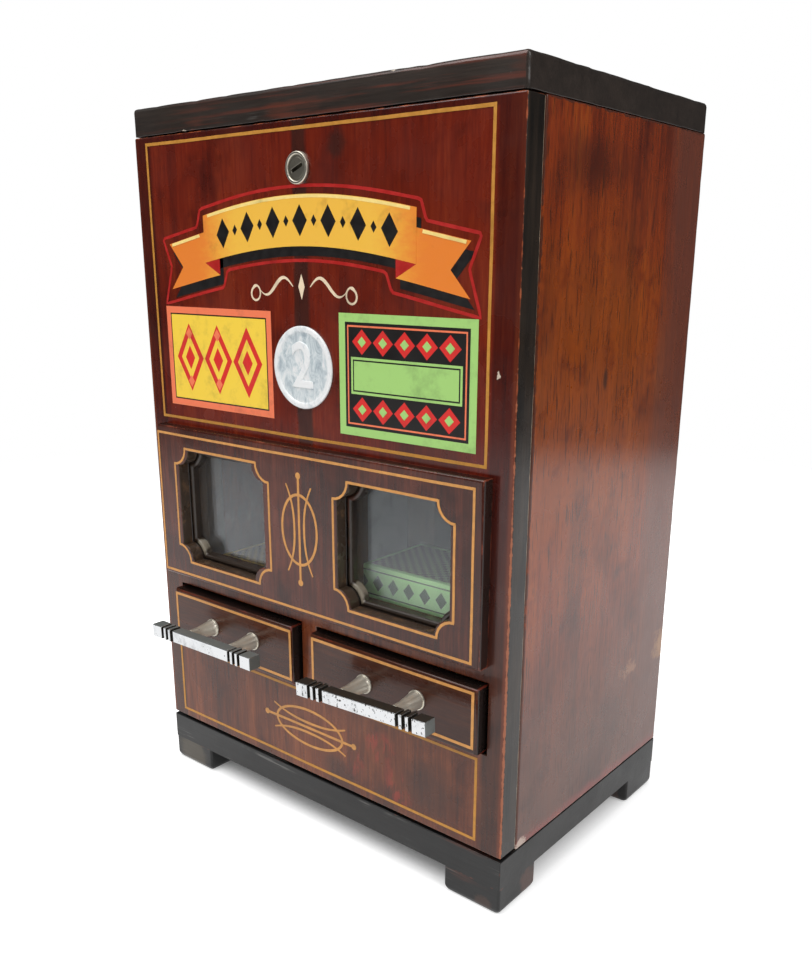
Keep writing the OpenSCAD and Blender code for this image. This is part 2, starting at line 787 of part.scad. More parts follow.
module right_drawer_box() drawer_box(RIGHT);

module drawer_deck(s) color(pale_wood) column(s)
  block([wall_u + box_wall + stack_gap, tray_back, deck_top - deck_t],
        [far_wall_u - box_wall - stack_gap, box_back, deck_top]);

module left_drawer_deck() drawer_deck(LEFT);

module right_drawer_deck() drawer_deck(RIGHT);

module stop_peg_shape()
  translate([box_u, peg_y, box_z - peg_reach]) cylinder(h = peg_reach + box_floor_t, d = peg_d);

module left_stop_peg() color(pale_wood) column(LEFT) stop_peg_shape();

module right_stop_peg() color(pale_wood) column(RIGHT) stop_peg_shape();

// The ramp lifts the latch's nose when the drawer is pushed home
module latch_catch(s) color(brass) column(s) plate([wall_u, wall_u + box_wall]) polygon([
  [catch_y, low_wall_top], [catch_y + catch_l, low_wall_top], [catch_y + catch_l, low_wall_top + catch_toe],
  [catch_y + catch_flat, catch_top], [catch_y, catch_top]
]);

module left_latch_catch() latch_catch(LEFT);

module right_latch_catch() latch_catch(RIGHT);

module left_drawer_packet() color(yellow_card) column(LEFT) packet(tray_floor);

module right_drawer_packet() color(green_card) column(RIGHT) packet(tray_floor);

// A turned post that tapers from a thin foot to its neck
module post() difference() {
  rotate_extrude() polygon([
    [0, 0], [post_foot_d / 2, 0], [post_foot_d / 2, post_foot_t], [post_foot_d / 2 - post_lip, post_foot_t],
    [post_neck_d / 2, post_foot_t + post_taper_l], [post_neck_d / 2, post_l], [0, post_l]
  ]);
  translate([0, 0, -past]) cylinder(h = screw_in_post + past, d = post_screw_d);
}

module handle_posts(s) color(nickel) placed() on_handle(s) for (x = post_x)
  translate([x, -drawer_proud, 0]) rotate([90, 0, 0]) post();

module left_handle_posts() handle_posts(LEFT);

module right_handle_posts() handle_posts(RIGHT);

module handle_screws(s) color(nickel) placed() handle_screw_shapes(s);

module left_handle_screws() handle_screws(LEFT);

module right_handle_screws() handle_screws(RIGHT);

// A bar of square section centred on the origin, along X
module bar_piece(x, size) translate([x[0], -size / 2, -size / 2]) cube([x[1] - x[0], size, size]);

module handle_bar(s) color(chrome) placed() on_handle(s) translate([0, bar_y, 0]) {
  bar_piece([-bar_l / 2, bar_l / 2], bar_s - 2 * groove_depth);
  bar_piece([-bar_plain, bar_plain], bar_s - 2 * bar_set_back);
  // Pads on the plain middle meet the posts
  for (x = post_x) translate([x - post_neck_d / 2, 0, -post_neck_d / 2])
    cube([post_neck_d, bar_s / 2, post_neck_d]);
  for (m = [0, 1]) mirror([m, 0, 0]) {
    bar_piece([bar_l / 2 - bar_end_l, bar_l / 2], bar_s);
    for (i = [0 : ridge_count - 1]) {
      ridge_x = bar_plain + groove_w + i * (ridge_w + groove_w);
      bar_piece([ridge_x, ridge_x + ridge_w], bar_s);
    }
  }
}

module left_handle_bar() handle_bar(LEFT);

module right_handle_bar() handle_bar(RIGHT);

// A coin on the pan holds the nose up; without a coin the nose drops in front of the drawer's catch
module coin_latch(s) color(brass) column(s) difference() {
  union() {
    plate([latch_u, latch_u + latch_t]) {
      rect([pan_y[0], latch_arm_z], [nose_y + nose_l, latch_arm_z + latch_arm_h]);
      rect([nose_y, nose_bottom], [nose_y + nose_l, latch_arm_z + latch_arm_h]);
      translate([latch_y, latch_z]) circle(latch_pin_d / 2 + latch_boss);
    }
    block([pan_u, pan_y[0], latch_arm_z], [latch_u + latch_t, pan_y[1], latch_arm_z + pan_t]);
  }
  rod_x([latch_u - past, latch_u + latch_t + past], latch_y, latch_z, latch_pin_d + 2 * latch_play);
}

module left_coin_latch() coin_latch(LEFT);

module right_coin_latch() coin_latch(RIGHT);

base_board();
front_feet();
rear_feet();
left_side();
right_side();
back_panel();
back_screws();
top_cap();
coin_slot_plate();
partition();
left_coin_chute();
right_coin_chute();
left_column_guides();
right_column_guides();
drawer_shelf();
shelf_cleats();
drawer_guides();
corner_blocks();
front_dowels();
strike_plate();
latch_pin();
latch_stop_pin();
cash_box();
left_packets();
right_packets();
front_board();
window_panel();
left_window_bead();
right_window_bead();
left_window_glass();
right_window_glass();
left_glass_strips();
right_glass_strips();
price_disc();
lock_case();
lock_nut();
lock_plug();
lock_cam();
lock_cam_screw();
left_drawer_front();
left_drawer_box();
left_drawer_deck();
left_handle_bar();
left_handle_posts();
left_handle_screws();
left_latch_catch();
left_stop_peg();
left_drawer_packet();
right_drawer_front();
right_drawer_box();
right_drawer_deck();
right_handle_bar();
right_handle_posts();
right_handle_screws();
right_latch_catch();
right_stop_peg();
right_drawer_packet();
left_coin_latch();
right_coin_latch();
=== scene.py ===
"""Dresses a small two-drawer vending cabinet: varnished boards, painted lines, windows, handles and works."""

import json
import math

import bmesh
import bpy
from mathutils import Matrix, Vector, noise


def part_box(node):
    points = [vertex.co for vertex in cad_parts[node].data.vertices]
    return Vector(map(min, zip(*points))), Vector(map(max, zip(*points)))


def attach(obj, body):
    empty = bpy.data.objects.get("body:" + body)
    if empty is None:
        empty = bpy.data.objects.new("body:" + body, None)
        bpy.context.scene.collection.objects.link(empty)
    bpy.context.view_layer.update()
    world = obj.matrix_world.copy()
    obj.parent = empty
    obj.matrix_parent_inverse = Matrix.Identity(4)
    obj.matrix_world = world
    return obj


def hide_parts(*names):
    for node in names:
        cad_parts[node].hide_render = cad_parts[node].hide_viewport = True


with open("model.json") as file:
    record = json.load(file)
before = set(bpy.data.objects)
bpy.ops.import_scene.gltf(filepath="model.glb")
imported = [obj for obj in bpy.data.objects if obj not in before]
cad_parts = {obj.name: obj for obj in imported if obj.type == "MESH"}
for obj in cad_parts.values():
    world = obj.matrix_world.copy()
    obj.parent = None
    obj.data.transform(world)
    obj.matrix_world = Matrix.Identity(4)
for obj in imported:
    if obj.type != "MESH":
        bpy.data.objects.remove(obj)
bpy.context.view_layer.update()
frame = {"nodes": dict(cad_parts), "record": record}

NODES = frame["nodes"]
BODIES = frame["record"]["behaviour"]["bodies"]
BODY_OF = {node: body for body, members in BODIES.items() for node in members}
MM = 0.001

FRONT_LOW, FRONT_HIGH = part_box("front_board")
PANEL_LOW, PANEL_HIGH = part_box("window_panel")
DISC_LOW, DISC_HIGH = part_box("price_disc")
FACE_Y = FRONT_LOW.y
PANEL_Y = PANEL_LOW.y

# How near a point lies to count as in a face, and to be merged with another
NEAR = 1e-5
MERGED = 1e-6

# Coats on the front: a line of paint, how deep a slab is bedded, a label's sheet and each print on it
PAINT = 0.07 * MM
BEDDED = 0.01 * MM
LABEL_SHEET = 0.10 * MM
LABEL_PRINT = 0.02 * MM

# Packets: height of one with its play, height of the lozenges' middle on it, half a lozenge's width
PACKET_PITCH = 16.2 * MM
PACKET_MIDDLE = 8.0 * MM
PACKET_LOZENGE = 4.5 * MM

# Nicks along edges: scale of the coarse and of the fine ones
COARSE_NICKS = 55.0
FINE_NICKS = 210.0

# Border lines in millimetres: left, lower, right and upper edge
UPPER_BORDER = (-98.8, 190.6, 94.7, 314.2)
LOWER_BORDER = (-98.1, 31.9, 94.0, 69.4)
PANEL_BORDER = (-97.5, 113.2, 94.0, 183.2)
WINDOW_BORDERS = ((-85.7, 119.7, -19.0, 177.0), (20.9, 119.7, 85.2, 176.2))
WINDOW_SCOOP = 8.2
DRAWER_BORDERS = {"right": (6.4, 77.1, 95.7, 100.9), "left": (-91.4, 76.6, -8.3, 100.6)}

# Oval ornaments in millimetres: place across and up, reach of the middle line, width, height,
# and whether it is upright
PANEL_ORNAMENT = (0.2, 150.4, 24.4, 21.5, 31.8, True)
LOWER_ORNAMENT = (-3.0, 51.1, 28.9, 18.4, 43.4, False)
ORNAMENT_BALL = 1.5 * MM

# Bowed lines of an ornament: shares of its width at the middle and beyond, power of the bow,
# and share of the middle line's reach
BOW_MIDDLE = 0.14
BOW_SPREAD = 0.22
BOW_POWER = 2.4
BOW_REACH = 0.82

# Ribbon in millimetres: half its width, height of its middle, rise and half wave of its arch,
# drop of the tails, places across of the fold, the band's end and the tip, depth of the tip's notch,
# shift of the shadow, height of the band's coat, and inset of the pale line from its upper edge
RIBBON_HALF = 10.0
RIBBON_UP = 270.0
RIBBON_RISE = 9.5
RIBBON_SPAN = 150.0
RIBBON_DROP = 7.0
RIBBON_FOLD = 51.0
RIBBON_END = 61.0
RIBBON_TIP = 86.0
RIBBON_NOTCH = 9.0
RIBBON_SHADOW = (2.2, -3.8)
RIBBON_COAT = 0.15
RIBBON_LIT = 0.8

# Gap between the ribbon and the thin line round it, above and below, in millimetres
OUTLINE_GAP = 3.2
OUTLINE_LOW_GAP = 5.6

# Flourish in millimetres: height of its middle, inner and outer end of the wave, height of the wave,
# and radius of the curl at its end
FLOURISH_UP = 253.5
FLOURISH_INNER = 5.0
FLOURISH_OUTER = 27.0
FLOURISH_WAVE = 3.6
FLOURISH_CURL = 4.2

# Labels in millimetres: left, lower, right and upper edge
LEFT_LABEL = (-91.6, 197.0, -19.3, 243.1)
RIGHT_LABEL = (20.9, 195.0, 90.1, 243.9)

# Price disc: chamfer behind, radius of the rim's rounding, width of the rim, width of its pale paint,
# and the numeral's size, half depth and rounding
DISC_CHAMFER = 0.3 * MM
DISC_ROUND = 1.3 * MM
DISC_RIM = 3.4 * MM
DISC_PALE = 1.8 * MM
NUMERAL_SIZE = 27.0 * MM
NUMERAL_DEPTH = 0.3 * MM
NUMERAL_ROUND = 0.25 * MM

# Window beads: place of the pale patch, worn paint with a painted highlight, from the bead's corner, and its
# radius
BEAD_CORNER = 6.0 * MM
BEAD_WORN_HIGHLIGHT = 5.0 * MM

# Back screws: radius of the head and the shank, width and depth of the slot
SCREW_HEAD = 3.0 * MM
SCREW_SHANK = 1.5 * MM
SCREW_SLOT = 0.9 * MM
SCREW_SLOT_DEPTH = 0.8 * MM

# Lock: roundings of the case and the plug, and width of the bright ring
LOCK_CASE_ROUND = 0.45 * MM
LOCK_PLUG_ROUND = 0.15 * MM
LOCK_RING = 1.4 * MM

# Handle bars: least depth of a groove's floor and its greatest width
GROOVE_DEPTH = 0.2 * MM
GROOVE_WIDTH = 4.0 * MM

# Wear of each handle bar and its painted reflection: brightness left in the tarnish, share of pits, colour of
# the painted dark reflection on its upper side
BAR_WEAR_AND_REFLECTION = (("left", 0.5, 0.06, "painted_reflection_plate"), ("right", 0.72, 0.11, "grime_and_shade"))

# Lamps: place, size and share of the power, then the point that they face, half the floor's width,
# and the level of the sky in reflections
LAMPS = {
    "lamp_above": ((-0.35, -0.75, 1.5), 1.3, 1.0),
    "lamp_side": ((1.3, -0.2, 1.0), 0.9, 0.42),
}
LAMP_AIM = Vector((0.0, 0.0, 0.15))
FLOOR_HALF = 6.0
GLOSSY_SKY = 0.06

# Stains on the front board: place across and up, radius, share, and whether it is a red one in the grain
FRONT_STAINS = (
    ((0.021, 0.307), 0.0070, 0.65, False),
    ((0.016, 0.034), 0.0140, 0.60, False),
    ((0.070, 0.046), 0.0190, 0.62, False),
    ((0.046, 0.033), 0.0120, 0.45, False),
    ((0.066, 0.190), 0.0280, 0.50, False),
    ((0.042, 0.056), 0.0100, 0.70, True),
    ((0.051, 0.040), 0.0110, 0.60, True),
    ((0.026, 0.043), 0.0080, 0.40, True),
)

# Bare places on the feet: axis across the face, place across and up, radius, share and colour of the wood
FOOT_WEAR = (
    (0, (-0.094, 0.006), 0.014, 0.65, (92, 84, 70)),
    (0, (0.099, 0.003), 0.005, 0.35, (98, 70, 58)),
    (1, (-0.035, 0.006), 0.008, 0.5, (104, 66, 52)),
)

# Marks on the sides: stretch along the depth, place along and up, radius, raggedness, scale,
# softness, share and colour
SIDE_MARKS = {
    "right": (
        (2.4, (0.0068, 0.2185), 0.0060, 0.005, 110.0, 0.7, 0.8, (62, 34, 22)),
        # Painted shade under the cap: a dark uneven band just below it
        (0.4, (-0.012, 0.297), 0.0150, 0.022, 70.0, 0.9, 0.55, (58, 22, 12)),
        (1.0, (0.082, 0.080), 0.0105, 0.022, 150.0, 0.7, 0.6, (184, 134, 84)),
        (0.5, (0.047, 0.077), 0.0042, 0.016, 150.0, 0.7, 0.45, (176, 126, 92)),
        (1.0, (-0.0425, 0.027), 0.0036, 0.008, 320.0, 0.15, 1.0, (190, 166, 152)),
    ),
    "left": (
        (2.2, (0.022, 0.142), 0.0050, 0.004, 110.0, 0.7, 0.6, (62, 34, 22)),
        (0.5, (-0.018, 0.061), 0.0060, 0.018, 150.0, 0.7, 0.35, (176, 126, 92)),
    ),
}

bl_info = {
    "name": "Two-drawer vending cabinet",
    "version": (1, 0, 0),
    "blender": (4, 5, 0),
    "location": "View3D > Sidebar > Cabinet",
    "description": "Dresses a small wooden vending cabinet in varnish, paint, glass and metal",
    "category": "Object",
}


def srgb(red, green, blue):
    """Linear colour for screen values from 0 to 255."""
    steps = [channel / 255.0 for channel in (red, green, blue)]
    return tuple(s / 12.92 if s <= 0.04045 else ((s + 0.055) / 1.055) ** 2.4 for s in steps)


def solid(red, green, blue):
    """Linear colour with full opacity for screen values from 0 to 255."""
    return (*srgb(red, green, blue), 1.0)


def scaled(colour, share):
    """The same colour, darker or lighter."""
    return (*(channel * share for channel in colour[:3]), 1.0)


def tint(name, description, red, green, blue):
    """Colour property with its default in screen values."""
    return bpy.props.FloatVectorProperty(
        name=name, description=description, subtype="COLOR", size=3, min=0.0, max=1.0,
        default=srgb(red, green, blue),
    )


def length(name, description, millimetres):
    """Length property with its default in millimetres."""
    return bpy.props.FloatProperty(
        name=name, description=description, unit="LENGTH", min=0.0, precision=5,
        default=millimetres * MM,
    )


class CabinetSizes(bpy.types.PropertyGroup):
    """Roundings, line widths and coats that are laid over the construction."""

    board_edge: length("Board edge", "Rounding of the boards' edges", 0.9)
    cap_edge: length("Cap edge", "Rounding of the cap's upper edges", 1.8)
    base_edge: length("Base edge", "Rounding of the base board's edges", 0.5)
    under_edge: length("Under edge", "Rounding of the cap's lower edges", 0.3)
    ragged: length("Ragged edge", "Depth of the nicks along the cap's and base's edges", 0.5)
    drawer_edge: length("Drawer edge", "Rounding round a drawer front", 1.7)
    panel_edge: length("Panel edge", "Rounding round the window panel", 1.1)
    window_edge: length("Window edge", "Rounding round each window opening", 0.5)
    bead_edge: length("Bead edge", "Rounding of the window beads", 1.2)
    foot_edge: length("Foot edge", "Rounding of the feet", 1.3)
    plate_edge: length("Plate edge", "Rounding of the coin slot plate", 0.25)
    bar_edge: length("Bar edge", "Rounding of the handle bars", 0.4)
    card_edge: length("Card edge", "Rounding of the packets", 0.5)
    border_line: length("Border line", "Width of the long painted border lines", 1.3)
    panel_line: length("Panel line", "Width of the painted lines on the window panel", 1.15)
    drawer_line: length("Drawer line", "Width of the painted lines on the drawers", 1.3)
    ornament_line: length("Ornament line", "Width of the lines of the oval ornaments", 1.25)
    outline: length("Ribbon outline", "Width of the thin line round the ribbon", 1.3)
    flourish_line: length("Flourish line", "Greatest width of the cream flourish", 1.5)


class CabinetColours(bpy.types.PropertyGroup):
    """Colours of the woods, paints, papers and metals."""

    door_dark: tint("Door dark", "Dark grain of the upper front", 84, 20, 8)
    door: tint("Door", "Varnished wood of the upper front", 108, 28, 8)
    door_light: tint("Door light", "Light grain of the upper front", 126, 42, 14)
    lower_dark: tint("Lower dark", "Dark grain of the lower front", 70, 30, 14)
    lower: tint("Lower", "Varnished wood of the lower front", 108, 51, 22)
    lower_light: tint("Lower light", "Light grain of the lower front", 138, 74, 38)
    panel_dark: tint("Panel dark", "Dark grain of the window panel", 52, 21, 13)
    panel: tint("Panel", "Varnished wood of the window panel", 78, 33, 21)
    panel_light: tint("Panel light", "Light grain of the window panel", 108, 50, 32)
    drawer_dark: tint("Drawer dark", "Dark grain of the drawer fronts", 50, 22, 13)
    drawer: tint("Drawer", "Varnished wood of the drawer fronts", 64, 30, 16)
    drawer_light: tint("Drawer light", "Light grain of the drawer fronts", 84, 42, 22)
    side_dark: tint("Side dark", "Dark grain of the sides", 88, 28, 5)
    side: tint("Side", "Varnished wood of the sides", 134, 48, 4)
    side_light: tint("Side light", "Light grain of the sides", 162, 74, 8)
    ebony: tint("Ebony", "Black lacquer", 27, 27, 27)
    cap: tint("Cap", "Brown-black of the cap", 46, 38, 33)
    ebony_worn: tint("Worn ebony", "Wood that shows through the lacquer", 94, 50, 36)
    bare_wood: tint("Bare wood", "Wood at worn edges", 160, 78, 42)
    bead: tint("Bead", "Brown-black of the window beads", 52, 40, 31)
    chip: tint("Chip", "Pale chips at edges and corners", 205, 190, 172)
    reveal: tint("Reveal", "Dark paint inside the window openings", 66, 52, 41)
    gold_bright: tint("Bright gold line", "Orange-gold line paint of the panel", 218, 154, 82)
    gold: tint("Gold line", "Ochre-gold line paint", 202, 140, 52)
    ribbon: tint("Ribbon", "Gold of the painted ribbon", 246, 190, 66)
    ribbon_light: tint("Ribbon light", "Pale line along the ribbon's upper edge", 255, 226, 138)
    ribbon_shade: tint("Ribbon shade", "Orange shading of the ribbon", 236, 130, 40)
    red: tint("Red", "Red of the folds and outline", 186, 24, 18)
    black: tint("Black", "Black paint and print", 22, 18, 18)
    cream: tint("Cream", "Cream of the flourish", 244, 222, 190)
    coral: tint("Coral", "Coral print", 248, 128, 88)
    yellow: tint("Yellow", "Yellow print", 252, 214, 72)
    green: tint("Green", "Light green print", 168, 214, 122)
    crimson: tint("Crimson", "Red print", 222, 44, 40)
    card_green: tint("Green card", "Green packet card", 204, 255, 178)
    card_yellow: tint("Yellow card", "Yellow packet card", 244, 208, 92)
    silver: tint("Silver", "Silver paint of the price disc", 218, 227, 230)
    nickel: tint("Nickel", "Aged nickel", 224, 218, 203)
    plug: tint("Lock plug", "Dull face of the lock plug", 160, 155, 142)
    chrome: tint("Chrome", "Bright plate of the handle bars", 226, 228, 230)
    # Painted reflection and shade on the handle bars: the duller plate paints a reflection on the left bar's
    # upper side and on the bars' ends; the grime colour is grime with painted shade in the grooves, and
    # paints a dark reflection on the right bar's upper side
    painted_reflection_plate: tint("Dull plate", "Dulled upper side of the left handle bar", 112, 116, 114)
    grime_and_shade: tint("Grime", "Dark grime on the handle bars", 48, 45, 40)
    brass: tint("Brass", "Brass", 196, 152, 78)
    tin: tint("Tin", "Tinplate", 168, 170, 170)
    pine_dark: tint("Inner wood dark", "Dark grain of the inner wood", 66, 46, 28)
    pine: tint("Inner wood", "Plain inner wood", 96, 70, 46)
    pine_light: tint("Inner wood light", "Light grain of the inner wood", 116, 88, 60)


class CabinetStage(bpy.types.PropertyGroup):
    """Camera, floor and light."""

    azimuth: bpy.props.FloatProperty(
        name="Azimuth", description="Turn of the view from straight ahead", subtype="ANGLE",
        default=math.radians(39.273),
    )
    elevation: bpy.props.FloatProperty(
        name="Elevation", description="Tilt of the view above level", subtype="ANGLE",
        default=math.radians(16.547),
    )
    roll: bpy.props.FloatProperty(
        name="Roll", description="Turn of the view about its own axis", subtype="ANGLE",
        default=math.radians(0.318),
    )
    eye: bpy.props.FloatVectorProperty(
        name="Eye", description="Place of the camera", subtype="XYZ", unit="LENGTH", size=3,
        default=(0.2935, -0.3433, 0.2632),
    )
    lens: bpy.props.FloatProperty(
        name="Lens", description="Focal length for a 36 mm long side", default=35.393, min=1.0,
    )
    shift: bpy.props.FloatVectorProperty(
        name="Shift", description="Shift of the view across and up, in parts of the frame's long side",
        size=2, default=(-0.0070, 0.0637),
    )
    sheet: length("White sheet", "How far the white sheet reaches round the cabinet", 1000.0)
    lamp: bpy.props.FloatProperty(
        name="Lamp", description="Power of the large soft lamp", default=17.5, min=0.0, unit="POWER",
    )
    sky: bpy.props.FloatProperty(
        name="Sky", description="Level of the even light all round", default=0.55, min=0.0,
    )


def sizes():
    """Sizes as they are set in the sidebar."""
    return bpy.context.scene.cabinet_sizes


def colours():
    """Colours as they are set in the sidebar."""
    return bpy.context.scene.cabinet_colours


def shade(name):
    """One of the named colours with full opacity."""
    return (*getattr(colours(), name), 1.0)


class NodeBench:
    """Adds nodes to a tree and links them by the names of their sockets."""

    def __init__(self, tree):
        self.tree = tree

    def put(self, socket, value):
        """Links an output to a socket, or sets the socket's own value."""
        if isinstance(value, bpy.types.NodeSocket):
            self.tree.links.new(value, socket)
        else:
            socket.default_value = value

    def add(self, kind, inputs=None, **settings):
        """New node with its settings and inputs."""
        node = self.tree.nodes.new(kind)
        for name, value in settings.items():
            setattr(node, name, value)
        for name, value in (inputs or {}).items():
            self.put(node.inputs[name], value)
        return node

    def calc(self, operation, first, second=0.0, third=0.0):
        """One arithmetic step."""
        node = self.add("ShaderNodeMath", operation=operation)
        for socket, value in zip(node.inputs, (first, second, third)):
            self.put(socket, value)
        return node.outputs[0]

    def vector(self, operation, first, second):
        """One step with vectors."""
        node = self.add("ShaderNodeVectorMath", operation=operation)
        self.put(node.inputs[0], first)
        self.put(node.inputs["Scale" if operation == "SCALE" else 1], second)
        return node.outputs[0]


class Finish(NodeBench):
    """A procedural material on the piece's own coordinates."""

    def __init__(self, name):
        self.material = bpy.data.materials.new(name)
        self.material.use_nodes = True
        super().__init__(self.material.node_tree)
        self.shader = self.tree.nodes["Principled BSDF"]
        self.coords = self.add("ShaderNodeTexCoord").outputs["Object"]
        self.axes = self.add("ShaderNodeSeparateXYZ", {"Vector": self.coords}).outputs
        self.x, self.y, self.z = self.axes

    def place(self, scale=(1.0, 1.0, 1.0), shift=(0.0, 0.0, 0.0)):
        """Object coordinates, stretched and shifted."""
        inputs = {"Vector": self.coords, "Location": shift, "Scale": scale}
        return self.add("ShaderNodeMapping", inputs).outputs["Vector"]

    def cloud(self, vector, scale, detail=3.0, rough=0.55, warp=0.0):
        """Soft noise about one half."""
        inputs = {"Vector": vector, "Scale": scale, "Detail": detail, "Roughness": rough, "Distortion": warp}
        return self.add("ShaderNodeTexNoise", inputs).outputs["Fac"]

    def step(self, value, low, high, to_low=0.0, to_high=1.0):
        """Smooth step of a value from low to high."""
        inputs = {"Value": value, "From Min": low, "From Max": high, "To Min": to_low, "To Max": to_high}
        return self.add("ShaderNodeMapRange", inputs, interpolation_type="SMOOTHSTEP").outputs["Result"]

    def blend(self, share, first, second, way="MIX"):
        """One colour over another."""
        node = self.add("ShaderNodeMix", data_type="RGBA", blend_type=way)
        for index, value in ((0, share), (6, first), (7, second)):
            self.put(node.inputs[index], value)
        return node.outputs[2]

    def over(self, colour, coat, mask, share):
        """A coat over a colour, by a mask and a share of it."""
        return self.blend(self.calc("MULTIPLY", mask, share), colour, coat)

    def shades(self, value, *stops):
        """Colours along a value."""
        node = self.add("ShaderNodeValToRGB", {"Fac": value})
        elements = node.color_ramp.elements
        elements.remove(elements[1])
        elements[0].position, elements[0].color = stops[0]
        for position, colour in stops[1:]:
            elements.new(position).color = colour
        return node.outputs["Color"]

    def relief(self, height, depth, under=None):
        """Small relief of a height value."""
        inputs = {"Height": height, "Distance": depth, "Strength": 1.0}
        if under is not None:
            inputs["Normal"] = under
        return self.add("ShaderNodeBump", inputs).outputs["Normal"]

    def facing(self, axis):
        """How far the surface faces along one axis, either way."""
        normal = self.add("ShaderNodeTexCoord").outputs["Normal"]
        part = self.add("ShaderNodeSeparateXYZ", {"Vector": normal}).outputs[axis]
        return self.calc("ABSOLUTE", part)

    def edge(self, low, high):
        """Distance from the nearest edge of a box."""
        above = self.vector("SUBTRACT", self.coords, low)
        below = self.vector("SUBTRACT", high, self.coords)
        near = self.vector("MINIMUM", above, below)
        x, y, z = self.add("ShaderNodeSeparateXYZ", {"Vector": near}).outputs
        small = self.calc("MINIMUM", x, y)
        large = self.calc("MAXIMUM", x, y)
        return self.calc("MAXIMUM", small, self.calc("MINIMUM", large, z))

    def blot(self, across, up, place, radius, ragged, scale=110.0, soft=0.7):
        """Soft patch with an uneven rim about a place across and up."""
        wide = self.calc("SUBTRACT", across, place[0])
        high = self.calc("SUBTRACT", up, place[1])
        far = self.calc("SQRT", self.calc("MULTIPLY_ADD", wide, wide, self.calc("MULTIPLY", high, high)))
        rough = self.calc("SUBTRACT", self.cloud(self.coords, scale, 5.0, 0.65), 0.5)
        return self.step(self.calc("MULTIPLY_ADD", rough, ragged, far), radius, radius * (1.0 - soft))

    def specks(self, scale, size, share):
        """Sparse round specks: size in cells, share of the cells that hold one."""
        node = self.add("ShaderNodeTexVoronoi", {"Vector": self.coords, "Scale": scale})
        lucky = self.add("ShaderNodeSeparateColor", {"Color": node.outputs["Color"]}).outputs[0]
        dot = self.step(node.outputs["Distance"], size, size * 0.6)
        return self.calc("MULTIPLY", dot, self.calc("LESS_THAN", lucky, share))

    def done(self, colour, roughness, normal=None, **constants):
        """Puts the colour, gloss and relief on the shader, and constants on its own sockets."""
        self.put(self.shader.inputs["Base Color"], colour)
        self.put(self.shader.inputs["Roughness"], roughness)
        if normal is not None:
            self.put(self.shader.inputs["Normal"], normal)
        for name, value in constants.items():
            self.put(self.shader.inputs[name.replace("_", " ").title().replace("Ior", "IOR")], value)
        return self.material


def stretched(along, share):
    """Scale that draws a pattern out along one axis."""
    return tuple(share if axis == along else 1.0 for axis in "xyz")


def grain(finish, along, shift=(0.0, 0.0, 0.0)):
    """Tone of wood with broad streaks, finer lines and short pores."""
    streaks = finish.cloud(finish.place(stretched(along, 0.1), shift), 60.0, 4.0, 0.6, 0.6)
    lines = finish.cloud(finish.place(stretched(along, 0.04), shift), 430.0, 3.0, 0.65)
    pores = finish.cloud(finish.place(stretched(along, 0.07), shift), 1250.0, 2.0, 0.6)
    tone = finish.calc("MULTIPLY_ADD", streaks, 0.45, finish.calc("MULTIPLY", lines, 0.3))
    return finish.calc("MULTIPLY_ADD", pores, 0.25, tone), pores


def varnish(finish, colour, tone, pores, gloss=(0.2, 0.36), coat=0.6, level=0.5):
    """Glossy old varnish over coloured wood: uneven gloss, slight ripple, grain that telegraphs through."""
    ripple = finish.cloud(finish.coords, 160.0, 2.0, 0.5)
    uneven = finish.cloud(finish.coords, 34.0, 4.0, 0.6)
    bump = finish.relief(tone, 0.10 * MM)
    bump = finish.relief(pores, 0.03 * MM, bump)
    bump = finish.relief(ripple, 0.06 * MM, bump)
    roughness = finish.step(uneven, 0.3, 0.7, *gloss)
    return finish.done(
        colour, roughness, bump, coat_weight=coat, coat_roughness=0.08, specular_ior_level=level
    )


def three_tones(finish, tone, name):
    """Dark, plain and light shades of a named wood along its grain."""
    return finish.shades(
        tone, (0.37, shade(name + "_dark")), (0.5, shade(name)), (0.63, shade(name + "_light"))
    )


def worn(finish, edge, colour, under, width, spread, scale=120.0):
    """Lets another colour show in an uneven strip along the edges."""
    rough = finish.calc("SUBTRACT", finish.cloud(finish.coords, scale, 4.0, 0.65), 0.5)
    reach = finish.calc("MULTIPLY_ADD", rough, spread, edge)
    return finish.blend(finish.step(reach, width, width - 0.0003), colour, under)


def patches(finish, colour, dark, low, high, scale=16.0, shift=(0.0, 0.0, 0.0)):
    """Soft dark patches of age."""
    spots = finish.cloud(finish.place(shift=shift), scale, 5.0, 0.6, 0.3)
    return finish.blend(finish.step(spots, low, high), colour, dark, "MULTIPLY")


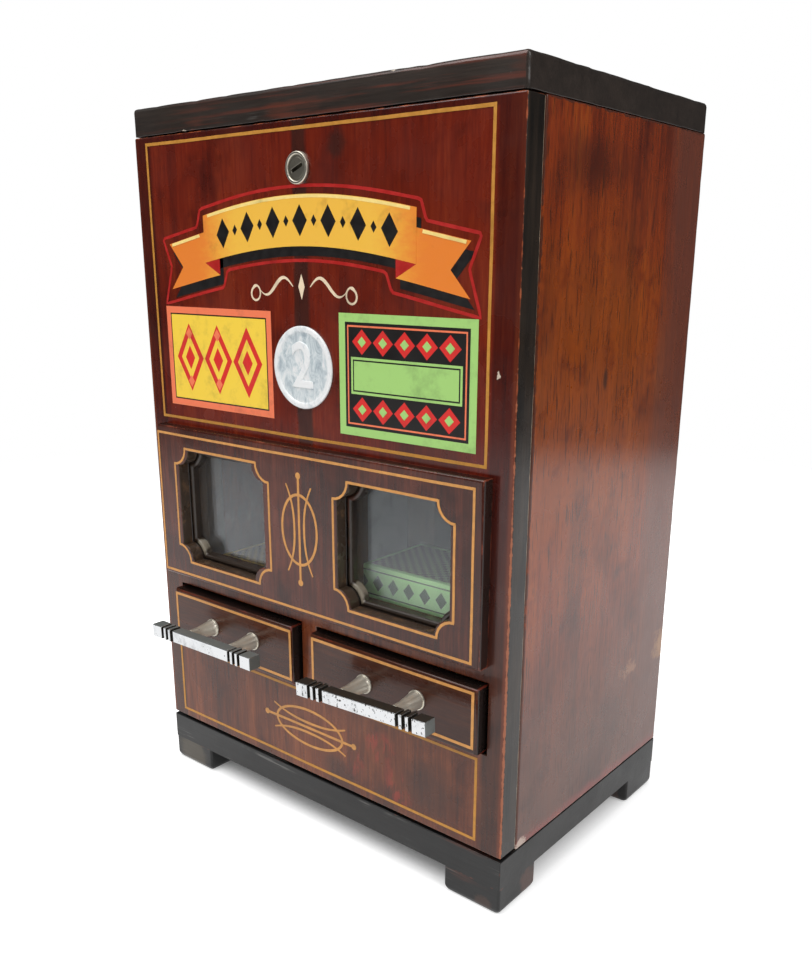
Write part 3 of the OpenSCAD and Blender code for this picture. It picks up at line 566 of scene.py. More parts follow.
def front_finish():
    """Front board: red-brown above, duller below, a dark stain down the middle, black edges."""
    finish = Finish("front_board_varnish")
    x, y, z = finish.axes
    tone, pores = grain(finish, "z")
    upper = three_tones(finish, tone, "door")
    lower = three_tones(finish, tone, "lower")
    colour = finish.blend(finish.step(z, 0.08, 0.19), lower, upper)
    colour = patches(finish, colour, (0.62, 0.54, 0.5, 1.0), 0.5, 0.72)
    colour = patches(finish, colour, (0.6, 0.52, 0.48, 1.0), 0.5, 0.72, 48.0, (0.4, 0.0, 0.0))
    # Stains, the red ones broken up by the grain
    dark = solid(46, 26, 21)
    ruddy = solid(158, 52, 36)
    flame = finish.step(finish.cloud(finish.place(stretched("z", 0.3)), 260.0, 4.0, 0.65, 0.4), 0.46, 0.6)
    for place, radius, share, flamed in FRONT_STAINS:
        spot = finish.blot(x, z, place, radius, 0.014)
        if flamed:
            spot = finish.calc("MULTIPLY", spot, flame)
        colour = finish.over(colour, ruddy if flamed else dark, spot, share)
    # Darker margin outside the border line
    wide = finish.calc("ABSOLUTE", x)
    margin = finish.calc("MAXIMUM", finish.step(wide, 0.0950, 0.0975), finish.step(z, 0.3125, 0.3145))
    colour = finish.blend(margin, colour, (0.44, 0.44, 0.54, 1.0), "MULTIPLY")
    # Dark stain that wanders down the middle of the upper front
    wander = finish.calc("SUBTRACT", finish.cloud(finish.place(stretched("z", 0.35)), 55.0, 4.0, 0.6), 0.5)
    stain_x = finish.calc("ABSOLUTE", finish.calc("MULTIPLY_ADD", wander, 0.006, x))
    stain = finish.calc("MULTIPLY", finish.step(stain_x, 0.0048, 0.0030), finish.step(z, 0.183, 0.19))
    colour = finish.over(colour, dark, stain, 0.8)
    # Black edges, worn to bare wood, and one pale scuff
    edge = finish.edge(FRONT_LOW, FRONT_HIGH)
    uneven = finish.cloud(finish.place(stretched("z", 0.1)), 240.0)
    black = finish.shades(uneven, (0.35, solid(22, 17, 13)), (0.7, solid(50, 39, 30)))
    colour = finish.blend(finish.step(finish.facing("Y"), 0.8, 0.6), colour, black)
    colour = worn(finish, edge, colour, shade("bare_wood"), 0.00045, 0.0018)
    scuff = finish.blot(finish.calc("MULTIPLY", x, 2.0), z, (0.1984, 0.2243), 0.0015, 0.006, 800.0, 0.3)
    colour = finish.blend(scuff, colour, shade("chip"))
    # Upright corners: a rubbed band and bare wood in front, a pale worn line behind
    inset = finish.calc("SUBTRACT", FRONT_HIGH.x, wide)
    corner = finish.calc("MAXIMUM", inset, finish.calc("SUBTRACT", y, FRONT_LOW.y))
    ahead = finish.step(finish.facing("Y"), 0.5, 0.7)
    band = finish.calc("MULTIPLY", finish.step(corner, 0.0026, 0.0012), ahead)
    band = finish.calc("MULTIPLY", band, finish.step(z, 0.27, 0.2, 0.15, 0.5))
    colour = finish.blend(band, colour, solid(128, 56, 24))
    rubbed = finish.calc("SUBTRACT", corner, finish.step(z, 0.28, 0.12, 0.0, 0.0005))
    colour = worn(finish, rubbed, colour, solid(160, 92, 60), 0.00028, 0.0020, 330.0)
    rear = finish.calc("MAXIMUM", finish.calc("SUBTRACT", FRONT_HIGH.y, y), inset)
    colour = worn(finish, rear, colour, solid(180, 158, 134), 0.0009, 0.0014)
    return varnish(finish, colour, tone, pores, coat=0.3, level=0.4)


def panel_finish():
    """Window panel: dark varnished wood, painted dark inside the openings."""
    finish = Finish("window_panel_varnish")
    tone, pores = grain(finish, "z", (0.2, 0.0, 0.4))
    colour = three_tones(finish, tone, "panel")
    colour = patches(finish, colour, (0.5, 0.44, 0.43, 1.0), 0.47, 0.72, 20.0)
    colour = patches(finish, colour, (0.6, 0.52, 0.5, 1.0), 0.52, 0.7, 64.0, (0.3, 0.1, 0.7))
    # Dark paint for the openings
    inner = finish.cloud(finish.coords, 210.0, 4.0, 0.65)
    dark = finish.blend(finish.step(inner, 0.52, 0.72), shade("reveal"), solid(108, 80, 56))
    # Darker towards the right
    colour = finish.blend(finish.step(finish.x, 0.03, 0.09), colour, (0.7, 0.68, 0.66, 1.0), "MULTIPLY")
    # Faces that look sideways: black round the outside, painted dark inside the openings
    across = finish.calc("SUBTRACT", PANEL_HIGH.x, finish.calc("ABSOLUTE", finish.x))
    below = finish.calc("SUBTRACT", finish.z, PANEL_LOW.z)
    above = finish.calc("SUBTRACT", PANEL_HIGH.z, finish.z)
    upright = finish.calc("MINIMUM", below, above)
    within = finish.step(finish.calc("MINIMUM", across, upright), 0.002, 0.004)
    side = finish.step(finish.facing("Y"), 0.66, 0.44)
    rim = finish.calc("MULTIPLY", side, finish.step(within, 1.0, 0.0, 0.0, 0.8))
    colour = finish.blend(rim, colour, solid(32, 22, 18))
    colour = finish.over(colour, dark, side, within)
    colour = worn(finish, finish.edge(PANEL_LOW, PANEL_HIGH), colour, solid(118, 56, 38), 0.0003, 0.003)
    return varnish(finish, colour, tone, pores, coat=0.2, level=0.45)


def drawer_finish(end):
    """Drawer front: olive-brown wood with painted shade, near black, on its ends, top and bottom, worn edges
    and a pale corner chip.
    """
    finish = Finish(end + "_drawer_varnish")
    low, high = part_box(end + "_drawer_front")
    tone, pores = grain(finish, "x", (0.1, 0.3, low.x))
    colour = three_tones(finish, tone, "drawer")
    colour = patches(finish, colour, (0.6, 0.54, 0.5, 1.0), 0.5, 0.72, 30.0)
    # Painted shade: the faces that look sideways, up or down are made near black
    side = finish.calc("MAXIMUM", finish.facing("X"), finish.facing("Z"))
    colour = finish.blend(finish.step(side, 0.8, 0.97), colour, solid(27, 20, 18))
    edge = finish.edge(low, high)
    colour = worn(finish, edge, colour, solid(98, 38, 26), 0.0006, 0.003)
    colour = worn(finish, edge, colour, shade("chip"), -0.0022, 0.0095, 90.0)
    return varnish(finish, colour, tone, pores, coat=0.16, level=0.4)


def side_finish(side):
    """Side board: orange-brown upright grain, darker to the rear, with a knot, scuffs, chips, specks and, on
    the right, painted shade under the cap.
    """
    finish = Finish(side + "_side_varnish")
    low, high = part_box(side + "_side")
    y, z = finish.y, finish.z
    tone, pores = grain(finish, "z", (0.0, low.x, 0.0))
    colour = three_tones(finish, tone, "side")
    # Warm middle, duller foot and patches of age
    warm = finish.blot(y, z, (-0.002, 0.205), 0.105, 0.06, 24.0)
    colour = finish.over(colour, solid(152, 76, 8), warm, 0.5)
    colour = finish.blend(finish.step(z, 0.17, 0.04, 0.0, 0.82), colour, solid(92, 53, 36))
    colour = patches(finish, colour, (0.62, 0.52, 0.46, 1.0), 0.48, 0.72, 18.0)
    colour = patches(finish, colour, (0.66, 0.55, 0.48, 1.0), 0.52, 0.7, 58.0, (0.1, 0.6, 0.2))
    # Dark pores, and a darker strip to the rear
    flecks = finish.step(pores, 0.55, 0.66)
    colour = finish.over(colour, solid(62, 24, 9), flecks, 0.8)
    wander = finish.cloud(finish.place(stretched("z", 0.08)), 60.0, 4.0, 0.6)
    back = finish.calc("MULTIPLY_ADD", wander, 0.03, y)
    colour = finish.over(colour, solid(102, 56, 42), finish.step(back, 0.064, 0.078), 0.72)
    # Red stain along the foot, worn edges, chips and a rubbed hem
    foot = finish.calc("MULTIPLY_ADD", finish.cloud(finish.coords, 90.0), 0.006, z)
    stained = finish.step(foot, low.z + 0.0095, low.z + 0.004)
    colour = finish.over(colour, solid(140, 50, 44), stained, 0.7)
    edge = finish.edge(low, high)
    colour = worn(finish, edge, colour, solid(84, 40, 24), 0.0010, 0.004)
    skirt = finish.calc("MAXIMUM", edge, finish.calc("SUBTRACT", z, low.z + 0.0035))
    colour = worn(finish, skirt, colour, shade("chip"), -0.0008, 0.0095, 110.0)
    hem = finish.calc("SUBTRACT", z, low.z)
    colour = worn(finish, hem, colour, solid(158, 84, 64), 0.0008, 0.006)
    # Knot, scuffs, chips and a painted shade under the cap in their places, then pale specks
    for stretch, (along, up), radius, ragged, scale, soft, share, mark in SIDE_MARKS[side]:
        across = finish.calc("MULTIPLY", y, stretch)
        spot = finish.blot(across, z, (along * stretch, up), radius, ragged, scale, soft)
        colour = finish.over(colour, solid(*mark), spot, share)
    colour = finish.blend(finish.specks(70.0, 0.04, 0.10), colour, solid(220, 208, 192))
    return varnish(finish, colour, tone, pores, coat=0.8, level=0.3)


def back_finish():
    """Back panel: thin stained board, duller than the front."""
    finish = Finish("back_panel_stain")
    low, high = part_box("back_panel")
    tone, pores = grain(finish, "z", (0.5, 0.2, 0.1))
    colour = three_tones(finish, tone, "lower")
    colour = patches(finish, colour, (0.5, 0.46, 0.44, 1.0), 0.48, 0.72, 12.0)
    colour = worn(finish, finish.edge(low, high), colour, shade("bare_wood"), 0.0009, 0.004)
    return varnish(finish, colour, tone, pores, (0.34, 0.5), 0.1)


def lacquer(node, along, streaks, chips, body="ebony", sheen=1.0, bare=(), lines=0.0, scratches=0.0):
    """Black lacquer on a board: brown streaks and lines, pale scratches, chips along its edges."""
    finish = Finish(node + "_lacquer")
    low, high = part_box(node)
    tone, pores = grain(finish, along, (low.z, 0.1, 0.0))
    full = shade(body)
    colour = finish.shades(tone, (0.34, scaled(full, 0.55)), (0.5, full), (0.68, scaled(full, 1.7)))
    # Brown streaks where the lacquer is thin
    long = finish.place(stretched(along, 0.04), (0.2, 0.7, low.z))
    cloudy = finish.cloud(finish.place(shift=(0.35, 0.0, 0.2)), 20.0, 3.0)
    thin = finish.calc("MULTIPLY", finish.cloud(long, 170.0, 5.0, 0.7), cloudy)
    thin = finish.calc("MULTIPLY_ADD", finish.x, 0.3, thin)
    broad = finish.step(finish.facing(along.upper()), 0.5, 0.2)
    share = finish.calc("MULTIPLY", finish.step(thin, 0.33 - streaks, 0.42 - streaks), broad)
    colour = finish.over(colour, shade("ebony_worn"), share, 0.55)
    # Fine red lines, more of them to the right
    if lines:
        fine = finish.cloud(finish.place(stretched(along, 0.03), (0.1, 0.4, low.z)), 420.0, 4.0, 0.6)
        right = finish.step(finish.x, -0.1, 0.02, 0.3, 1.0)
        red = finish.calc("MULTIPLY", finish.step(fine, 0.5, 0.64), right)
        red = finish.calc("MULTIPLY", red, broad)
        colour = finish.over(colour, solid(112, 50, 34), red, lines)
    # Pale scratches in some places
    if scratches:
        hard = finish.cloud(finish.place(stretched(along, 0.025), (0.7, 0.2, low.z)), 700.0, 3.0, 0.6)
        where = finish.step(finish.cloud(finish.place(shift=(0.2, 0.5, 0.1)), 36.0, 3.0), 0.47, 0.62)
        pale = finish.calc("MULTIPLY", finish.step(hard, 0.6, 0.68), finish.calc("MULTIPLY", where, broad))
        colour = finish.over(colour, solid(128, 126, 122), pale, scratches)
    # Bare places, on the beads a worn patch with a painted highlight, worn and chipped edges, and specks
    for axis, place, radius, share, wood in bare:
        spot = finish.blot(finish.axes[axis], finish.z, place, radius, 0.012, 140.0, 0.5)
        colour = finish.over(colour, solid(*wood), spot, share)
    edge = finish.edge(low, high)
    colour = worn(finish, edge, colour, shade("ebony_worn"), -0.0004, 0.006, 60.0)
    colour = worn(finish, edge, colour, shade("chip"), chips, 0.0095, 90.0)
    colour = finish.blend(finish.specks(60.0, 0.04, 0.06), colour, solid(220, 216, 208))
    return varnish(finish, colour, tone, pores, (0.28, 0.42), 0.3 * sheen, 0.5 * sheen)


def inner_wood():
    """Plain inner wood, dusty and unvarnished."""
    finish = Finish("inner_wood")
    tone, pores = grain(finish, "z", (0.3, 0.1, 0.2))
    colour = three_tones(finish, tone, "pine")
    colour = patches(finish, colour, (0.6, 0.56, 0.52, 1.0), 0.45, 0.75, 22.0)
    return varnish(finish, colour, tone, pores, (0.55, 0.75), 0.0)


def line_paint(name, colour, dull=0.82):
    """Brushed paint of one colour: uneven tone and thin places along the stroke."""
    finish = Finish(name)
    brush = finish.cloud(finish.coords, 320.0, 4.0, 0.65)
    fade = finish.cloud(finish.coords, 46.0, 3.0)
    full = shade(colour)
    tone = finish.blend(finish.step(brush, 0.35, 0.65), scaled(full, dull), full)
    tone = finish.blend(finish.step(fade, 0.58, 0.78, 0.0, 0.7), tone, scaled(full, 0.5))
    return finish.done(tone, finish.step(brush, 0.3, 0.7, 0.34, 0.5), finish.relief(brush, 0.02 * MM))


def ribbon_paint():
    """Gold paint that is shaded with orange towards the ribbon's ends and along brush marks."""
    finish = Finish("ribbon_gold")
    wide = finish.calc("ABSOLUTE", finish.x)
    brush = finish.cloud(finish.place(stretched("z", 2.4)), 190.0, 4.0, 0.65)
    reach = finish.calc("MULTIPLY_ADD", brush, 0.018, wide)
    share = finish.calc("MAXIMUM", finish.step(reach, 0.046, 0.076), finish.step(brush, 0.62, 0.78))
    tone = finish.blend(share, shade("ribbon"), shade("ribbon_shade"))
    weak = finish.cloud(finish.coords, 60.0, 4.0, 0.6)
    tone = finish.blend(finish.step(weak, 0.6, 0.8, 0.0, 0.5), tone, solid(150, 86, 34))
    return finish.done(tone, finish.step(brush, 0.3, 0.7, 0.34, 0.5), finish.relief(brush, 0.02 * MM))


def label_paper(name, colour):
    """Printed paper under old varnish: slightly dirty, with faint wrinkles."""
    finish = Finish(name)
    dirt = finish.cloud(finish.coords, 90.0, 5.0, 0.65)
    full = shade(colour)
    tone = finish.blend(finish.step(dirt, 0.48, 0.75), full, scaled(full, 0.72))
    wrinkle = finish.cloud(finish.place(stretched("z", 0.6)), 70.0, 3.0)
    return finish.done(tone, finish.step(dirt, 0.3, 0.7, 0.28, 0.42), finish.relief(wrinkle, 0.08 * MM))


def metal(name, colour, dark, rough, pits=0.0, scale=500.0, bright=1.0, painted_top_reflection=None):
    """Metal with tarnish, fine scratches and pits, and a painted dark reflection on the upper side where a
    colour for it is named.
    """
    finish = Finish(name)
    tarnish = finish.cloud(finish.coords, 90.0, 5.0, 0.65)
    full = shade(colour)
    tone = finish.blend(finish.step(tarnish, 0.46, 0.78), full, scaled(full, dark))
    fine = finish.cloud(finish.coords, scale * 2.0, 3.0, 0.6)
    height = fine
    if pits:
        spots = finish.cloud(finish.coords, scale, 3.0, 0.7)
        hole = finish.step(spots, 0.70 - pits, 0.74 - pits)
        tone = finish.blend(hole, tone, solid(30, 26, 22))
        height = finish.calc("SUBTRACT", fine, hole)
    roughness = finish.step(tarnish, 0.35, 0.7, rough, rough + 0.16)
    # Painted dark reflection: the upper side takes the named colour, rougher and less metallic
    if painted_top_reflection:
        upper = finish.step(finish.facing("Z"), 0.6, 0.9)
        tone = finish.blend(upper, tone, shade(painted_top_reflection))
        roughness = finish.calc("MULTIPLY_ADD", upper, 0.25, roughness)
        bright = finish.calc("MULTIPLY_ADD", upper, -0.75, bright)
    return finish.done(tone, roughness, finish.relief(height, 0.012 * MM), metallic=bright)


def silver_paint(name, pale_from):
    """Brushed silver paint with bluish-grey thin places, paler outside a radius round the disc's middle."""
    finish = Finish(name)
    middle = (DISC_LOW + DISC_HIGH) / 2.0
    brush = finish.cloud(finish.place((1.6, 1.0, 0.9)), 150.0, 5.0, 0.7, 0.8)
    grey = solid(168, 182, 190)
    tone = finish.shades(brush, (0.34, grey), (0.5, shade("silver")), (0.62, solid(246, 247, 247)))
    inner = finish.blot(finish.x, finish.z, (middle.x, middle.z), pale_from, 0.003, 110.0, 0.12)
    rubbed = finish.shades(brush, (0.36, solid(222, 228, 231)), (0.5, solid(250, 251, 251)))
    tone = finish.blend(inner, rubbed, tone)
    roughness = finish.step(brush, 0.3, 0.7, 0.5, 0.34)
    return finish.done(tone, roughness, finish.relief(brush, 0.16 * MM), metallic=0.15)


def window_glass():
    """Old window glass with a little dust."""
    finish = Finish("window_glass")
    dust = finish.cloud(finish.coords, 60.0, 5.0, 0.7)
    tone = finish.shades(dust, (0.35, solid(252, 253, 254)), (0.7, solid(244, 247, 248)))
    wave = finish.cloud(finish.coords, 30.0, 1.0)
    return finish.done(
        tone, finish.step(dust, 0.35, 0.75, 0.02, 0.12), finish.relief(wave, 0.05 * MM),
        transmission_weight=0.975, ior=1.42, specular_tint=(0.88, 0.95, 1.0, 1.0),
    )


def packet_card(name, colour, node):
    """Printed packet card: plain ground, pale edges, lozenges on the front, fine checks on the top."""
    finish = Finish(name)
    low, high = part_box(node)
    smudge = finish.cloud(finish.coords, 120.0, 4.0, 0.6)
    full = shade(colour)
    ground = finish.blend(finish.step(smudge, 0.45, 0.75), full, scaled(full, 0.9))
    # Lozenges between two rules on the front of each packet
    level = finish.calc("MODULO", finish.calc("SUBTRACT", finish.z, low.z), PACKET_PITCH)
    level = finish.calc("ABSOLUTE", finish.calc("SUBTRACT", level, PACKET_MIDDLE))
    along = finish.calc("PINGPONG", finish.calc("SUBTRACT", finish.x, low.x), PACKET_LOZENGE)
    lozenges = finish.step(finish.calc("MULTIPLY_ADD", along, 1.25, level), 0.0040, 0.0036)
    rules = finish.step(finish.calc("ABSOLUTE", finish.calc("SUBTRACT", level, 0.0056)), 0.0004, 0.0002)
    front = finish.step(finish.facing("Y"), 0.6, 0.8)
    drawn = finish.calc("MAXIMUM", lozenges, rules)
    tone = finish.over(ground, scaled(full, 0.16), drawn, front)
    # Darker field with fine checks on the top
    checks = finish.add("ShaderNodeTexChecker", {"Vector": finish.place(stretched("z", 0.0)), "Scale": 420.0})
    top = finish.step(finish.facing("Z"), 0.6, 0.8)
    edge = finish.step(finish.edge(low, high), 0.0022, 0.0028)
    printed = finish.calc("MULTIPLY", top, edge)
    tone = finish.over(tone, solid(112, 84, 70), printed, 0.6)
    checked = finish.calc("MULTIPLY", checks.outputs["Fac"], printed)
    tone = finish.over(tone, solid(74, 46, 38), checked, 0.75)
    return finish.done(tone, finish.step(smudge, 0.3, 0.7, 0.35, 0.5), finish.relief(smudge, 0.03 * MM))


def smooth(mesh, crease=40.0):
    """Smooth shading, sharp only at strong creases."""
    for face in mesh.polygons:
        face.use_smooth = True
    mesh.set_sharp_from_angle(angle=math.radians(crease))
    return mesh


def evaluated_mesh(obj):
    """Plain mesh of an object with its modifiers, which is then removed."""
    graph = bpy.context.evaluated_depsgraph_get()
    mesh = bpy.data.meshes.new_from_object(obj.evaluated_get(graph), depsgraph=graph)
    bpy.data.objects.remove(obj)
    return mesh


def new_object(name, data):
    """Object in the scene that holds the given data."""
    made = bpy.data.objects.new(name, data)
    bpy.context.scene.collection.objects.link(made)
    return made


def settled(mesh):
    """Normals weighted by area, so that flat faces stay flat beside rounded edges."""
    helper = new_object("helper", mesh)
    weighted = helper.modifiers.new("weighted", "WEIGHTED_NORMAL")
    weighted.keep_sharp = True
    weighted.weight = 100
    return evaluated_mesh(helper)


def plain_mesh(shape, name):
    """Mesh of a shape, which is then freed."""
    mesh = bpy.data.meshes.new(name)
    shape.to_mesh(mesh)
    shape.free()
    return mesh


def merged_copy(node):
    """Copy of a construction node with its faces joined."""
    shape = bmesh.new()
    shape.from_mesh(NODES[node].data)
    bmesh.ops.remove_doubles(shape, verts=shape.verts, dist=MERGED)
    return shape


def add_piece(name, mesh, body, finish, replaced=(), places=None):
    """Puts a finished mesh into the scene and lets it ride on its body."""
    if not mesh.polygons:
        raise RuntimeError(name + " came out empty")
    piece = new_object(name, mesh)
    mesh.name = name
    mesh.materials.clear()
    for material in finish if isinstance(finish, (list, tuple)) else [finish]:
        mesh.materials.append(material)
    if places:
        mesh.polygons.foreach_set("material_index", places)
    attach(piece, body)
    if replaced:
        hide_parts(*replaced)
    return piece


def at_corner(edge, low, high):
    """True where an edge runs along one of the edges of a box."""
    first, second = (vert.co for vert in edge.verts)
    held = 0
    for axis in range(3):
        for limit in (low[axis], high[axis]):
            if abs(first[axis] - limit) < NEAR and abs(second[axis] - limit) < NEAR:
                held += 1
    return held >= 2


def grooves(mesh, low, high, depth, narrow):
    """For each face of a bar: 1 if it is a groove's wall or floor, 2 if it is an end, and 0 otherwise."""
    found = []
    for face in mesh.polygons:
        across = [mesh.vertices[index].co.x for index in face.vertices]
        slim = max(across) - min(across) < narrow
        floor = slim and face.normal.y < -0.7 and face.center.y > low.y + depth
        wall = abs(face.normal.x) > 0.7
        end = wall and min(face.center.x - low.x, high.x - face.center.x) < narrow / 4.0
        found.append(2 if end else int(floor or wall))
    return found


def on_front(edge, low):
    """True where an edge lies in a board's front face."""
    return all(abs(vert.co.y - low.y) < NEAR for vert in edge.verts)


def nick(shape, low, high, reach, depth):
    """Wears uneven nicks into a box-like board where two or three of its faces meet."""
    for vert in shape.verts:
        inward = Vector((0.0, 0.0, 0.0))
        for axis in range(3):
            if vert.co[axis] - low[axis] < reach:
                inward[axis] = 1.0
            elif high[axis] - vert.co[axis] < reach:
                inward[axis] = -1.0
        faces = inward.length_squared
        if faces < 1.5:
            continue
        coarse = max(0.0, noise.noise(vert.co * COARSE_NICKS) + 0.1)
        fine = max(0.0, noise.noise(vert.co * FINE_NICKS) - 0.15)
        vert.co += inward.normalized() * depth * (0.55 * coarse + 1.1 * fine)


def sharp_edges(shape, chosen, low, high):
    """Sharp edges of a shape that a rule chooses."""
    steep = math.radians(32.0)
    sharp = [edge for edge in shape.edges if edge.is_manifold and edge.calc_face_angle() > steep]
    return [edge for edge in sharp if chosen(edge, low, high)]


def softened(node, rules, steps=3, ragged=0.0, spacing=4.0 * MM):
    """Copy of a construction node with rounded edges: each rule names which edges and how far."""
    shape = merged_copy(node)
    bmesh.ops.dissolve_limit(
        shape, angle_limit=math.radians(0.5), verts=shape.verts, edges=shape.edges
    )
    low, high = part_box(node)
    for chosen, radius in rules:
        if ragged:
            for edge in sharp_edges(shape, chosen, low, high):
                cuts = int(edge.calc_length() / spacing)
                if cuts:
                    bmesh.ops.subdivide_edges(shape, edges=[edge], cuts=cuts)
        bmesh.ops.bevel(
            shape, geom=sharp_edges(shape, chosen, low, high), offset=radius, offset_type="OFFSET",
            segments=steps, profile=0.5, affect="EDGES", clamp_overlap=False,
        )
    bmesh.ops.remove_doubles(shape, verts=shape.verts, dist=MERGED)
    if ragged:
        nick(shape, low, high, rules[0][1] * 1.3, ragged)
    return settled(smooth(plain_mesh(shape, node)))


def any_edge(edge, low, high):
    """Every sharp edge."""
    return True


def convex_edge(edge, low, high):
    """Every sharp edge that stands outwards."""
    return edge.is_convex


def upper_corner(edge, low, high):
    """Edges of the box that aren't in its lower face."""
    return at_corner(edge, low, high) and max(vert.co.z for vert in edge.verts) > low.z + NEAR


def below_top(edge, low, high):
    """Every sharp edge that isn't in the upper face."""
    return min(vert.co.z for vert in edge.verts) < high.z - NEAR


def front_outline(edge, low, high):
    """Edges in the front face that are on the outline."""
    return on_front(edge, low) and at_corner(edge, low, high)


def front_edge(edge, low, high):
    """Edges in the front face."""
    return on_front(edge, low)


def front_inner(edge, low, high):
    """Edges in the front face that aren't on the outline."""
    return on_front(edge, low) and not at_corner(edge, low, high)


def turned(shape, profile, centre, count=64):
    """Adds a turned solid about an axis that points forwards: its profile starts and ends on the axis."""
    rings = []
    for radius, height in profile:
        if radius < MERGED:
            rings.append([shape.verts.new(centre + Vector((0.0, -height, 0.0)))])
            continue
        ring = []
        for index in range(count):
            angle = 2.0 * math.pi * index / count
            spot = Vector((radius * math.cos(angle), -height, radius * math.sin(angle)))
            ring.append(shape.verts.new(centre + spot))
        rings.append(ring)
    for first, second in zip(rings, rings[1:]):
        for index in range(count):
            after = (index + 1) % count
            corners = [first[index % len(first)], second[index % len(second)]]
            if len(second) > 1:
                corners.append(second[after])
            if len(first) > 1:
                corners.append(first[after])
            shape.faces.new(corners)


def closed_mesh(shape, name, crease=40.0):
    """Mesh of a closed shape with its faces turned outwards."""
    bmesh.ops.recalc_face_normals(shape, faces=shape.faces)
    return smooth(plain_mesh(shape, name), crease)


def slab(shape, outline, thickness, index=0):
    """Adds a thin flat shape bedded in the front: outline in millimetres across and up."""
    back = FACE_Y + BEDDED
    rear = [shape.verts.new((x * MM, back, z * MM)) for x, z in outline]
    fore = [shape.verts.new((x * MM, back - thickness, z * MM)) for x, z in outline]
    faces = [shape.faces.new(rear), shape.faces.new(list(reversed(fore)))]
    count = len(outline)
    for this in range(count):
        after = (this + 1) % count
        faces.append(shape.faces.new((rear[after], rear[this], fore[this], fore[after])))
    for face in faces:
        face.material_index = index


def new_tree(name, sockets):
    """Empty node tree for shapes, with named inputs."""
    tree = bpy.data.node_groups.new(name, "GeometryNodeTree")
    tree.interface.new_socket(name="Geometry", in_out="INPUT", socket_type="NodeSocketGeometry")
    for socket, kind in sockets:
        tree.interface.new_socket(name=socket, in_out="INPUT", socket_type="NodeSocket" + kind)
    tree.interface.new_socket(name="Geometry", in_out="OUTPUT", socket_type="NodeSocketGeometry")
    bench = NodeBench(tree)
    return bench, bench.add("NodeGroupInput").outputs, bench.add("NodeGroupOutput")


def finish_tree(bench, shape, paint, end):
    """Ends a tree: instances made real, then the material."""
    real = bench.add("GeometryNodeRealizeInstances", {"Geometry": shape}).outputs["Geometry"]
    coated = bench.add("GeometryNodeSetMaterial", {"Geometry": real, "Material": paint})
    bench.put(end.inputs["Geometry"], coated.outputs["Geometry"])
    return bench.tree


def brush_tree():
    """Tree that paints strokes of uneven width along lines."""
    bench, start, end = new_tree("Brush strokes", (
        ("Width", "Float"), ("Thickness", "Float"), ("Step", "Float"), ("Unevenness", "Float"),
        ("Wander", "Float"), ("Seed", "Float"), ("Paint", "Material"),
    ))
    line = bench.add("GeometryNodeMeshToCurve", {"Mesh": start["Geometry"]}).outputs["Curve"]
    line = bench.add(
        "GeometryNodeResampleCurve", {"Curve": line, "Length": start["Step"]}, mode="LENGTH"
    ).outputs["Curve"]
    place = bench.add("GeometryNodeInputPosition").outputs["Position"]
    cloud = {"Vector": place, "W": start["Seed"]}
    quick = bench.add(
        "ShaderNodeTexNoise", {**cloud, "Scale": 170.0, "Detail": 2.0}, noise_dimensions="4D"
    ).outputs["Fac"]
    slow = bench.add(
        "ShaderNodeTexNoise", {**cloud, "Scale": 24.0, "Detail": 1.0}, noise_dimensions="4D"
    ).outputs["Color"]
    taper = bench.add("GeometryNodeInputNamedAttribute", {"Name": "taper"}, data_type="FLOAT")
    uneven = bench.calc("MULTIPLY_ADD", bench.calc("SUBTRACT", quick, 0.5), start["Unevenness"], 1.0)
    scale = bench.calc("MULTIPLY", uneven, taper.outputs["Attribute"])
    shift = bench.vector("SUBTRACT", slow, (0.5, 0.5, 0.5))
    flat = bench.vector("MULTIPLY", shift, (1.0, 0.0, 1.0))
    moved = bench.vector("SCALE", flat, start["Wander"])
    line = bench.add(
        "GeometryNodeSetPosition", {"Geometry": line, "Offset": moved}
    ).outputs["Geometry"]
    line = bench.add(
        "GeometryNodeSetCurveNormal", {"Curve": line, "Normal": (0.0, -1.0, 0.0)}, mode="FREE"
    ).outputs["Curve"]
    section = bench.add(
        "GeometryNodeCurvePrimitiveQuadrilateral", {"Width": start["Thickness"], "Height": start["Width"]}
    ).outputs["Curve"]
    strokes = bench.add(
        "GeometryNodeCurveToMesh",
        {"Curve": line, "Profile Curve": section, "Scale": scale, "Fill Caps": True},
    ).outputs["Mesh"]
    return finish_tree(bench, strokes, start["Paint"], end)


def scatter_tree():
    """Tree that sets one small shape on each point, turned by a seeded angle about an axis."""
    bench, start, end = new_tree("Set on points", (
        ("Piece", "Object"), ("Axis", "Vector"), ("Turn", "Float"), ("Seed", "Int"), ("Finish", "Material"),
    ))
    shape = bench.add("GeometryNodeObjectInfo", {"Object": start["Piece"]}).outputs["Geometry"]
    random = bench.add("FunctionNodeRandomValue", data_type="FLOAT")
    bench.put(random.inputs[2], 0.0)
    bench.put(random.inputs[3], start["Turn"])
    bench.put(random.inputs["Seed"], start["Seed"])
    turn = bench.add(
        "FunctionNodeAxisAngleToRotation", {"Axis": start["Axis"], "Angle": random.outputs[1]}
    ).outputs["Rotation"]
    copies = bench.add(
        "GeometryNodeInstanceOnPoints", {"Points": start["Geometry"], "Instance": shape, "Rotation": turn}
    ).outputs["Instances"]
    return finish_tree(bench, copies, start["Finish"], end)


def grown(name, source, tree, settings):
    """Mesh that a tree makes from a source mesh."""
    helper = new_object(name, source)
    modifier = helper.modifiers.new("nodes", "NODES")
    modifier.node_group = tree
    for item in tree.interface.items_tree:
        if item.in_out == "INPUT" and item.name in settings:
            modifier[item.identifier] = settings[item.name]
    return evaluated_mesh(helper)


